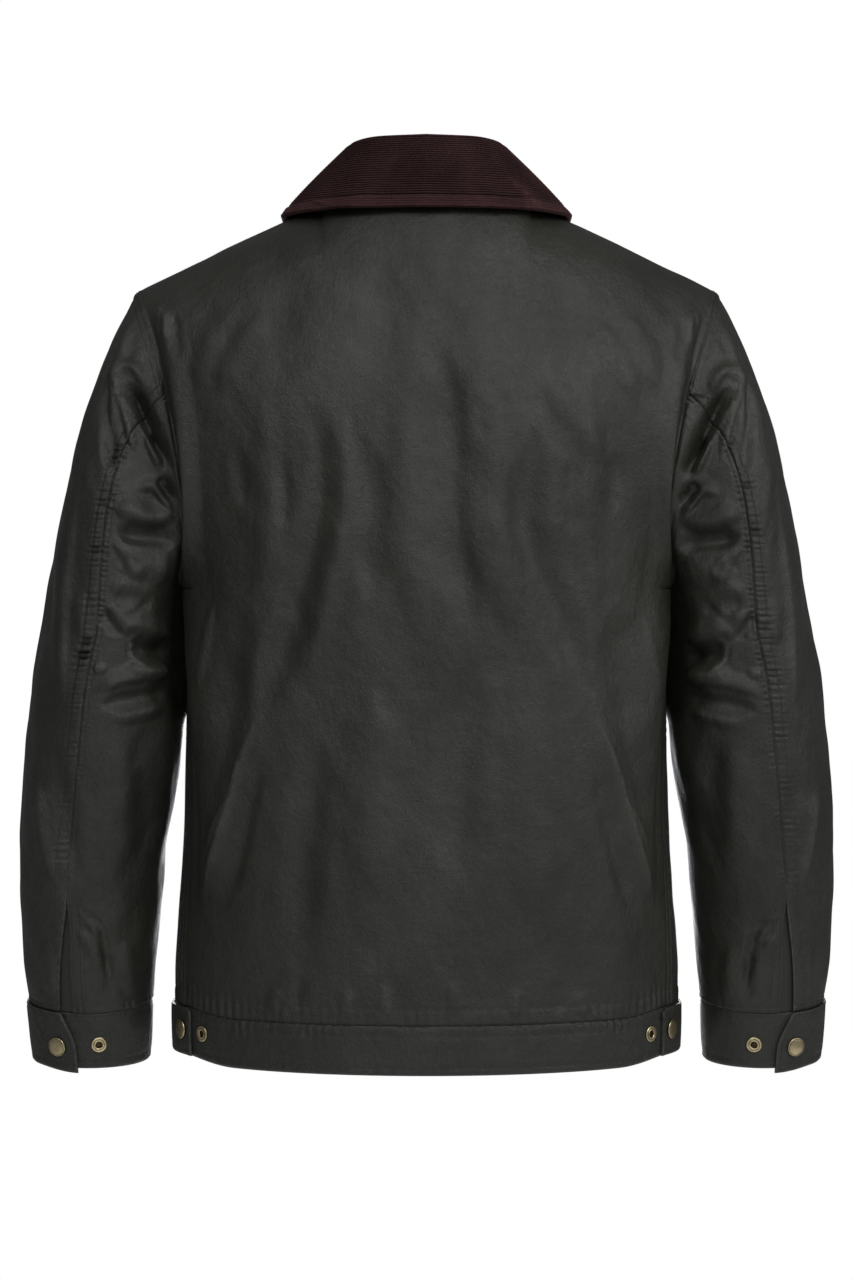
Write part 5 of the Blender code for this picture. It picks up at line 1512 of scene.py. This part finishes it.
CAP_ROWS, TUBE_ROWS = 220, 300
CUFF_ROWS, CUFF_COLUMNS = 30, 240
UPPER_COLUMNS, UNDER_COLUMNS = 96, 112
COLUMN_SHARE = (0.0, 0.20, 0.68, 1.0)  # shares of the columns from the back seam on
UPPER_WIDTH, UNDER_WIDTH = (0.0, 0.06, 0.45, 1.0), (0.0, 0.06, 0.60, 1.0)  # shares of the width they cover
ROW_LEVELLING = (0.75, 1.5)  # exponents that level the under sleeve's rows at the back seam and the armpit


def sleeve_grid(edge):
    """Turn and place along of every grid point of the upper or under sleeve, closest at the back seam."""
    rows = np.concatenate([np.linspace(0, 1, CAP_ROWS + 1), np.linspace(1, 2, TUBE_ROWS + 1)[1:]])[:, None]
    if edge == "upper":
        share = np.interp(np.linspace(0, 1, UPPER_COLUMNS + 1), COLUMN_SHARE, UPPER_WIDTH)
        along = np.repeat(rows, len(share), axis=1)
        return FRONT_SEAM + (seam_turn(edge, along) - FRONT_SEAM) * (1 - share[::-1]), along
    share = np.interp(np.linspace(0, 1, UNDER_COLUMNS + 1), COLUMN_SHARE, UNDER_WIDTH)
    turn = ARM_SEAM + (360 + FRONT_SEAM - ARM_SEAM) * share
    power = np.interp(180 - np.abs(turn - 180), (ARM_SEAM, 180), ROW_LEVELLING)
    along = np.where(rows < 1, np.minimum(rows, 1) ** power, rows)
    seam = seam_turn(edge, along)
    return seam + (360 + FRONT_SEAM - seam) * share, along


def sleeve_piece(node, edge, side, seed):
    """The upper or the under sleeve, mitred along the armhole, and the lines of its topstitching."""
    turn, along = sleeve_grid(edge)
    apart = np.degrees(SEAM / SLEEVE_RADIUS)
    turn[:, 0] += apart
    turn[:, -1] -= apart
    cloth = Cloth(sleeve_base(turn, along), sleeve_normal(turn, along))
    lift, crease = sleeve_relief(cloth.points, turn, along, side)
    nearest = np.minimum(np.minimum(cloth.first, cloth.last), np.minimum(cloth.low, cloth.top))
    size = bpy.context.scene.jacket_cloth.sway
    around = cloth.first if edge == "upper" else cloth.last
    ripple = size * 0.8 * ease(nearest / 0.02) * sway(around, cloth.points[..., 2], seed, 0.045)
    cloth.smooth = lift + ripple
    cloth.marks["crease"] = crease
    height = cloth.points[..., 2]
    back, hidden = ("last", "first") if edge == "upper" else ("first", "last")
    on_seam = ease((height - VENT_TOP - 0.004) / 0.02)
    puckered = PUCKER_LEAST + (1 - PUCKER_LEAST) * ease((height - PUCKER_FROM) / PUCKER_OVER)
    cloth.sewn(back, seed + 1, SLEEVE_BACK if edge == "upper" else SLEEVE_BACK_UNDER, on_seam * puckered)
    if edge == "upper":
        vent = (1 - on_seam) * ease((0.006 - cloth.last) / 0.006)
        cloth.marks["worn"] = np.maximum(cloth.marks["worn"], vent)
    cloth.sewn(hidden, seed + 2, SLEEVE_HIDDEN)
    cloth.sewn("low", seed + 3, SLEEVE_FOOT)
    cloth.sewn("top", seed + 4, SLEEVE_HEAD)
    outer = cloth.outside()
    inner, *picked = cloth.inside(CLOTH)
    inward, step = armhole_seam(turn[0])
    outer[0] = armhole_point(turn[0]) - SEAM * step
    inner[0] = (outer[0] - CLOTH * inward)[picked[1]]
    made = wall_object(node + "_cloth", cloth, outer, inner, picked, side)
    stand_for(node)
    tube_start = CAP_ROWS / (CAP_ROWS + TUBE_ROWS)
    vent = tube_start + (1 - tube_start) * (VENT_TOP - CAP_END) / (SLEEVE_END - CAP_END)
    if edge == "upper":
        lines = [cloth.line(back, distance, 0.02, vent) for distance in (ALLOWANCE, EDGE_STITCH)]
        lines += [cloth.line(back, distance, vent) for distance in (VENT_STITCH, ALLOWANCE)]
        lines.append(cloth.line("low", FOOT_STITCH, 0.05, 0.97))
    else:
        lines = [cloth.line(hidden, SLEEVE_HIDDEN[0], 0.02, 0.99)]
        lines += [cloth.line(back, distance, vent) for distance in (FOOT_STITCH, VENT_UNDER_STITCH)]
    return mirrored(lines, side)


def gusset_piece(node, side):
    """The plain piece behind the open end of the back seam."""
    turn, along = np.meshgrid(np.linspace(*GUSSET_TURNS, 30), np.linspace(GUSSET_TOP, 2, 60))
    cloth = Cloth(sleeve_base(turn, along), sleeve_normal(turn, along))
    cloth.smooth = sleeve_relief(cloth.points, turn, along, side)[0] - CLOTH - GUSSET_GAP
    inner, *picked = cloth.inside(GUSSET_WALL)
    made = wall_object(node + "_cloth", cloth, cloth.outside(), inner, picked, side, gusset_material())
    stand_for(node)


class JACKET_OT_sleeves(bpy.types.Operator):
    """Two-piece sleeves with vents at their back seams"""

    bl_idname = "jacket.sleeves"
    bl_label = "Sleeves"

    def execute(self, context):
        lines = []
        for word, side, seed in (("left", 1, 101), ("right", -1, 131)):
            lines += sleeve_piece(f"sleeve_upper_{word}", "upper", side, seed)
            lines += sleeve_piece(f"sleeve_under_{word}", "under", side, seed + 10)
            gusset_piece(f"cuff_gusset_{word}", side)
        sew("sleeve_stitches", lines)
        return {"FINISHED"}


def cuff_points(turn, height, lift):
    """The cuff band: it starts under its own lapped end and winds once round the wrist over it."""
    middle = sleeve_ring(turn + 90, height) * 0.5 + sleeve_ring(turn - 90, height) * 0.5
    ring = sleeve_ring(turn, height)
    outward = unit(ring - middle)
    layer = CUFF_UNDER + (BAND + LAP + CUFF_SPARE) * ease((turn - CUFF_CLIMB) / CUFF_CLIMB_TURN)
    down_band = (CUFF_TOP - height) / (CUFF_TOP - CUFF_LOW)
    drop = LAP_DROP * ease((turn - LAP_DROP_FROM) / LAP_DROP_OVER) * down_band
    return ring + outward * (layer + lift)[..., None] - drop[..., None] * [0.0, 0.0, 1.0]


class JACKET_OT_cuffs(bpy.types.Operator):
    """Lapped cuff bands"""

    bl_idname = "jacket.cuffs"
    bl_label = "Cuffs"

    def execute(self, context):
        heights = np.linspace(CUFF_LOW, CUFF_TOP, CUFF_ROWS)
        share = np.linspace(0, 1, CUFF_COLUMNS)
        turn = CUFF_START + (look_up(CUFF_END, "turn", heights)[:, None] - CUFF_START) * share
        grid = turn, np.repeat(heights[:, None], len(share), axis=1)
        points = cuff_points(*grid, 0.0)
        outward = points - cuff_points(*grid, -BAND)
        lines = []
        for word, side, seed in (("left", 1, 151), ("right", -1, 163)):
            cloth = Cloth(points, unit(outward))
            calm = ease(np.minimum(cloth.low, cloth.top) / 0.006) * ease((cloth.first - 0.03) / 0.03)
            calm = calm * ease(cloth.last / 0.03)
            cloth.smooth = 0.00035 * calm * sway(cloth.first, cloth.low * 0.5, seed, 0.035)
            cloth.sewn("top", seed + 1, CUFF_BAND_TOP)
            cloth.sewn("low", seed + 2, CUFF_BAND_LOW)
            cloth.rounded("low")
            cloth.rounded("last", 0.0016, 0.0008)
            cloth.rubbed("low")
            cloth.rubbed("last")
            cloth.rubbed("top", 0.0009)
            cloth.fine = cloth.fine - 0.0003 * pressed(cloth.last, TAB_STITCH, 0.0012)
            inner, *picked = cloth.inside(BAND)
            node = f"cuff_{word}"
            made = wall_object(node + "_cloth", cloth, cloth.outside(), inner, picked, side)
            stand_for(node)
            edges = [cloth.line("low", BAND_STITCH, 0.1), cloth.line("top", FOOT_STITCH, 0.1, 0.985)]
            edges.append(cloth.line("last", TAB_STITCH, 0.05, 0.95))
            lines += mirrored(edges, side)
        sew("cuff_stitches", lines)
        return {"FINISHED"}


# ---- collar

COLLAR_STEPS = 66  # sections from the middle of the back to a front end
STAND_POINTS, ROLL_POINTS = 16, 20


def collar_section(turn):
    """The middle line of the collar's wall at a turn from the middle of the back, and its normals."""
    on_front = turn > 90
    share = (180 - turn) / 90 if on_front else turn / 90
    across = share * (NECK_SHARE_FRONT if on_front else NECK_SHARE_BACK)
    neck = torso_base(across, SHOULDER_Z, on_front)
    neck_normal = torso_normal(across, SHOULDER_Z, on_front)
    base = neck + neck_normal * COLLAR_RAISE
    fold = np.array([look_up(COLLAR, f"fold_{axis}", turn) for axis in "xyz"])
    edge = np.array([look_up(COLLAR, f"edge_{axis}", turn) for axis in "xyz"])
    if on_front:
        spot = torso_spot(edge[0], edge[2], True)
        rest = torso(*spot, True) + torso_normal(*spot, True) * (COLLAR_WALL / 2 + COLLAR_REST)
        edge = edge + (rest - edge) * ease((turn - 90) / 30)
    out = unit((edge - fold) * [1, 1, 0])
    up = np.array([0.0, 0.0, 1.0])
    steep = math.atan2(fold[2] - edge[2], np.dot(edge - fold, out))
    last = math.pi / 2 - (steep - COLLAR_ROLL)
    centre = fold - up * FOLD_RADIUS
    start = centre - out * FOLD_RADIUS
    t = np.linspace(0, 1, STAND_POINTS + 1)[:-1, None]
    control = base + unit(neck_normal + 1.5 * up) * 0.5 * np.linalg.norm(start - base)
    stand = base * (1 - t) ** 2 + control * 2 * t * (1 - t) + start * t**2
    angles = np.linspace(math.pi, last, ROLL_POINTS)[:, None]
    arc = centre + FOLD_RADIUS * (np.cos(angles) * out + np.sin(angles) * up)
    bulge = arc[-1] * 0.5 + edge * 0.5 + (out * math.sin(steep) + up * math.cos(steep)) * COLLAR_CROWN
    t = np.linspace(0, 1, WALES * WALE_POINTS + 1)[1:, None]
    fall = arc[-1] * (1 - t) ** 2 + bulge * 2 * t * (1 - t) + edge * t**2
    line = np.concatenate([stand, arc, fall])
    normal = unit(np.cross(np.gradient(line, axis=0), np.cross(up, out)))
    nearby = torso_base(across - 0.01, SHOULDER_Z, on_front) - neck
    seat = unit(np.cross(nearby, neck_normal))
    normal[0] = seat * np.sign(np.dot(seat, normal[0]))
    return line, normal


class JACKET_OT_collar(bpy.types.Operator):
    """Turned-down collar with corduroy ribs along its fall"""

    bl_idname = "jacket.collar"
    bl_label = "Collar"

    def execute(self, context):
        turns = np.linspace(0, COLLAR_END, COLLAR_STEPS + 1)
        sections = [collar_section(turn) for turn in turns]
        lines = np.array([line for line, _ in sections])
        normals = np.array([normal for _, normal in sections])
        lines = np.concatenate([flip(lines[:0:-1], -1), lines]).transpose(1, 0, 2)
        normals = np.concatenate([flip(normals[:0:-1], -1), normals]).transpose(1, 0, 2)
        cloth = Cloth(lines, normals)
        behind = ease((lines[..., 1] + 0.01) / 0.03)
        lift, crease = fold_relief(COLLAR_FOLDS, lines[..., 0], lines[..., 2])
        on_fall = ease((np.arange(len(lines)) - STAND_POINTS - ROLL_POINTS) / (3 * WALE_POINTS))[:, None]
        cloth.smooth = COLLAR_WALL / 2 + lift * behind * on_fall
        cloth.marks["crease"] = crease * behind * on_fall

        row = np.arange(len(lines)) - (STAND_POINTS + ROLL_POINTS - 1)
        ribs = 0.5 - 0.5 * np.cos(2 * np.pi * row / WALE_POINTS)
        ribs = np.where(row < -ROLL_POINTS, 1.0, ribs)[:, None] * np.ones(lines.shape[1])
        near_edge = ease((COLLAR_STITCH + 0.0005 - cloth.top) / 0.002)
        ribs = ribs + WALE_PRESSED * near_edge * (1 - ribs)
        # The rib height is also the corduroy's rib mark, which paints shade in the valleys between the ribs
        # and light on their crests; the stand and the pressed ribs near the edge count as crests.
        cloth.marks["rib"] = ribs
        stitched = pressed(cloth.top, COLLAR_STITCH, 0.0012)
        cloth.fine = WALE_HEIGHT * ribs * (row > -ROLL_POINTS)[:, None] - 0.0007 * stitched
        cloth.fine = cloth.fine + 0.0003 * near_edge * waves(cloth.first, 0.0065, 171)
        for side in ("top", "first", "last"):
            cloth.rounded(side, 0.0018, 0.0010)
            cloth.rubbed(side, 0.0016)
        inner, *picked = cloth.inside(COLLAR_WALL)
        outer = cloth.outside()
        made = wall_object("collar_cloth", cloth, outer, inner, picked, material=corduroy_material())
        stand_for("collar")
        line = cloth.line("top", COLLAR_STITCH, 0.02, 0.98)
        sew("collar_stitches", [line], corduroy_material())
        return {"FINISHED"}


# ---- snaps

# Radius share, height in millimetres and how dark the brass is painted there, from the middle out for caps:
# patina in the grooves, and painted shade under the rim and in the socket's hole
CAP_PROFILE = (
    (0.00, 2.35, 0.0), (0.20, 2.34, 0.0), (0.40, 2.28, 0.0), (0.60, 2.16, 0.0), (0.74, 2.00, 0.0),
    (0.82, 1.84, 0.1), (0.855, 1.74, 0.6), (0.875, 1.72, 0.8), (0.895, 1.78, 0.4), (0.93, 1.84, 0.0),
    (0.965, 1.76, 0.0), (0.990, 1.50, 0.0), (1.000, 1.15, 0.2), (0.985, 0.70, 0.7), (0.930, 0.20, 1.0),
    (0.900, 0.00, 1.0),
)
SOCKET_PROFILE = (
    (0.00, 0.30, 1.0), (0.10, 0.42, 0.8), (0.18, 0.30, 1.0), (0.30, 0.10, 1.0), (0.38, 0.14, 1.0),
    (0.42, 0.80, 0.8), (0.455, 1.25, 0.3), (0.50, 1.48, 0.0), (0.56, 1.52, 0.0), (0.62, 1.40, 0.1),
    (0.68, 1.18, 0.5), (0.73, 1.12, 0.5), (0.79, 1.22, 0.1), (0.86, 1.30, 0.0), (0.93, 1.22, 0.0),
    (0.98, 0.95, 0.0), (1.00, 0.60, 0.3), (0.97, 0.15, 0.9), (0.93, 0.00, 1.0),
)


def turned_mesh(name, profile, radius):
    """A round piece turned about Z, closed underneath, with its hollows marked for patina and painted shade.
    """
    angles = np.linspace(0, 2 * math.pi, SNAP_SIDES, endpoint=False)
    points = [(0.0, 0.0, profile[0][1] * MM)]
    hollow = [profile[0][2]]
    for share, height, dark in profile[1:]:
        points += [(radius * share * math.cos(a), radius * share * math.sin(a), height * MM) for a in angles]
        hollow += [dark] * SNAP_SIDES
    faces = [(0, 1 + k, 1 + (k + 1) % SNAP_SIDES) for k in range(SNAP_SIDES)]
    for ring in range(len(profile) - 2):
        low = 1 + ring * SNAP_SIDES
        for k in range(SNAP_SIDES):
            m = (k + 1) % SNAP_SIDES
            faces.append((low + k, low + SNAP_SIDES + k, low + SNAP_SIDES + m, low + m))
    last = 1 + (len(profile) - 2) * SNAP_SIDES
    faces.append(tuple(last + k for k in range(SNAP_SIDES))[::-1])
    mesh = bpy.data.meshes.new(name)
    mesh.from_pydata(points, [], faces)
    face_out(mesh)
    # The hollow mark is patina in the grooves and painted shade under the rim and in the socket's hole.
    layer = mesh.attributes.new("hollow", "FLOAT", "POINT")
    layer.data.foreach_set("value", np.array(hollow, np.float32))
    return mesh


def add_snap(name, kind, spot, outward):
    """A cap or a socket pressed into the cloth, in the place of its solid."""
    cap = kind == "cap"
    mesh = turned_mesh(name, CAP_PROFILE if cap else SOCKET_PROFILE, SNAP_RADIUS if cap else SOCKET_RADIUS)
    turn = Vector(outward).to_track_quat("Z", "Y").to_matrix().to_4x4()
    turn.translation = Vector(spot - outward * SNAP_SUNK)
    mesh.transform(turn)
    made = add_piece(name + "_brass", mesh, brass_material())
    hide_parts(name)


def surface_spot(points_at, turn, height):
    """A point on a banded surface and its outward normal there."""
    turn, height = np.array([turn], float), np.array([height], float)
    here = points_at(turn, height)
    along = points_at(turn + 1.0, height) - points_at(turn - 1.0, height)
    up = points_at(turn, height + 0.002) - points_at(turn, height - 0.002)
    return here[0], unit(np.cross(along, up))[0]


class JACKET_OT_snaps(bpy.types.Operator):
    """Brass caps and sockets of the cuffs, hem tabs and storm flap"""

    bl_idname = "jacket.snaps"
    bl_label = "Snaps"

    def execute(self, context):
        spots = (
            ("cuff_cap", "cap", lambda t, z: cuff_points(t, z, 0.0), CUFF_CAP),
            ("cuff_socket", "socket", lambda t, z: cuff_points(t, z, 0.0), CUFF_SOCKET),
            ("hem_cap", "cap", lambda t, z: belt(t, z, HEM_PROUD + LAP + TAB_WALL), HEM_CAP),
            ("hem_socket", "socket", lambda t, z: belt(t, z, HEM_PROUD), HEM_SOCKET),
        )
        for name, kind, surface, (turn, height) in spots:
            spot, outward = surface_spot(surface, turn, height)
            if np.dot(outward, spot - surface(np.array([turn + 180.0]), np.array([height]))[0]) < 0:
                outward = -outward
            for word, side in (("left", 1), ("right", -1)):
                add_snap(f"{name}_{word}", kind, flip(spot, side), flip(outward, side))
        for number, height in enumerate(PLACKET_SNAPS, 1):
            across, level = torso_spot(PLACKET_SNAP_X, height, True)
            spot = torso(across, level, True, HEM_PROUD + LAP + BAND)
            add_snap(f"placket_cap_{number}", "cap", spot, torso_normal(across, level, True))
        return {"FINISHED"}


# ---- stage


# Where each light stands, the setting that gives its power, and its share of that
LIGHTS = (
    ("key_right", (-1.2, 2.0, 1.4), "key", 0.66),
    ("key_left", (1.0, 2.0, 1.4), "key", 0.34),
    ("side_light", (-2.4, 1.0, 0.3), "side", 1.0),
    ("top_light", (0.0, 0.3, 1.9), "low", 0.1),
    ("level_light", (0.0, 2.6, -0.3), "low", 0.35),
    ("low_light", (0.0, 2.2, -1.3), "low", 1.0),
    ("front_light", (0.0, -2.4, -0.35), "fill", 1.0),
)
LIGHT_SIZE, LIGHT_COLOR = 1.2, (0.955, 0.975, 1.0)
FLOOR_RADIUS, FLOOR_SIDES = 2.1, 96


def softbox(name, location, aim, power):
    """A square area light that looks at a point."""
    light = bpy.data.lights.new(name, "AREA")
    light.shape, light.size = "SQUARE", LIGHT_SIZE
    light.energy, light.color = power, LIGHT_COLOR
    made = bpy.data.objects.new(name, light)
    made.location = location
    made.rotation_euler = (Vector(aim) - Vector(location)).to_track_quat("-Z", "Y").to_euler()
    bpy.context.scene.collection.objects.link(made)


class JACKET_OT_stage(bpy.types.Operator):
    """Camera, soft studio light and a pale floor"""

    bl_idname = "jacket.stage"
    bl_label = "Stage"

    def execute(self, context):
        scene, stage = context.scene, context.scene.jacket_stage
        scene.view_settings.view_transform = "Standard"
        scene.view_settings.look = "None"
        camera = bpy.data.cameras.new("camera")
        camera.lens, camera.sensor_width = stage.lens, 36.0
        made = bpy.data.objects.new("camera", camera)
        made.location = (0.0, stage.distance, stage.height)
        made.rotation_euler = (math.pi / 2, 0.0, math.pi)
        scene.collection.objects.link(made)
        scene.camera = made

        world = bpy.data.worlds.new("studio")
        world.use_nodes = True
        tree = world.node_tree
        tree.nodes.clear()
        seen = place(tree, "ShaderNodeBackground", {"Color": (1, 1, 1, 1), "Strength": 1.0}).outputs[0]
        sky = {"Color": (0.95, 0.97, 1.0, 1.0), "Strength": stage.sky}
        even = place(tree, "ShaderNodeBackground", sky).outputs[0]
        eye = place(tree, "ShaderNodeLightPath").outputs["Is Camera Ray"]
        both = place(tree, "ShaderNodeMixShader", {0: eye, 1: even, 2: seen})
        place(tree, "ShaderNodeOutputWorld", {"Surface": both.outputs[0]})
        scene.world = world

        for name, spot, setting, share in LIGHTS:
            softbox(name, spot, (0.0, 0.1 if spot[1] > 0 else 0.0, -0.35), getattr(stage, setting) * share)

        mesh = bpy.data.meshes.new("floor")
        turns = np.linspace(0, 2 * math.pi, FLOOR_SIDES, endpoint=False)
        ring = [(FLOOR_RADIUS * math.cos(a), FLOOR_RADIUS * math.sin(a), stage.floor) for a in turns]
        mesh.from_pydata(ring, [], [tuple(range(FLOOR_SIDES))])
        mesh.materials.append(floor_material())
        floor = bpy.data.objects.new("floor", mesh)
        scene.collection.objects.link(floor)
        return {"FINISHED"}


# ---- panel and registration

OPERATORS = (
    JACKET_OT_body,
    JACKET_OT_hem,
    JACKET_OT_flap,
    JACKET_OT_sleeves,
    JACKET_OT_cuffs,
    JACKET_OT_collar,
    JACKET_OT_snaps,
    JACKET_OT_stage,
)
SETTINGS = (
    ("jacket_finish", JacketFinish),
    ("jacket_cloth", JacketCloth),
    ("jacket_stitch", JacketStitch),
    ("jacket_stage", JacketStage),
)


class JACKET_PT_sidebar(bpy.types.Panel):
    """Buttons and sizes of the jacket"""

    bl_idname = "JACKET_PT_sidebar"
    bl_label = "Waxed Cotton Jacket"
    bl_space_type = "VIEW_3D"
    bl_region_type = "UI"
    bl_category = "Jacket"

    def draw(self, context):
        for operator in OPERATORS:
            self.layout.operator(operator.bl_idname)
        for name, group in SETTINGS:
            box = self.layout.box()
            for key in group.__annotations__:
                box.prop(getattr(context.scene, name), key)


def register():
    for name, group in SETTINGS:
        bpy.utils.register_class(group)
        setattr(bpy.types.Scene, name, PointerProperty(type=group))
    for operator in OPERATORS:
        bpy.utils.register_class(operator)
    bpy.utils.register_class(JACKET_PT_sidebar)


def unregister():
    bpy.utils.unregister_class(JACKET_PT_sidebar)
    for operator in reversed(OPERATORS):
        bpy.utils.unregister_class(operator)
    for name, group in reversed(SETTINGS):
        delattr(bpy.types.Scene, name)
        bpy.utils.unregister_class(group)


def main():
    register()
    bpy.ops.jacket.stage()
    bpy.ops.jacket.body()
    bpy.ops.jacket.hem()
    bpy.ops.jacket.flap()
    bpy.ops.jacket.sleeves()
    bpy.ops.jacket.cuffs()
    bpy.ops.jacket.collar()
    bpy.ops.jacket.snaps()


if __name__ == "__main__":
    main()
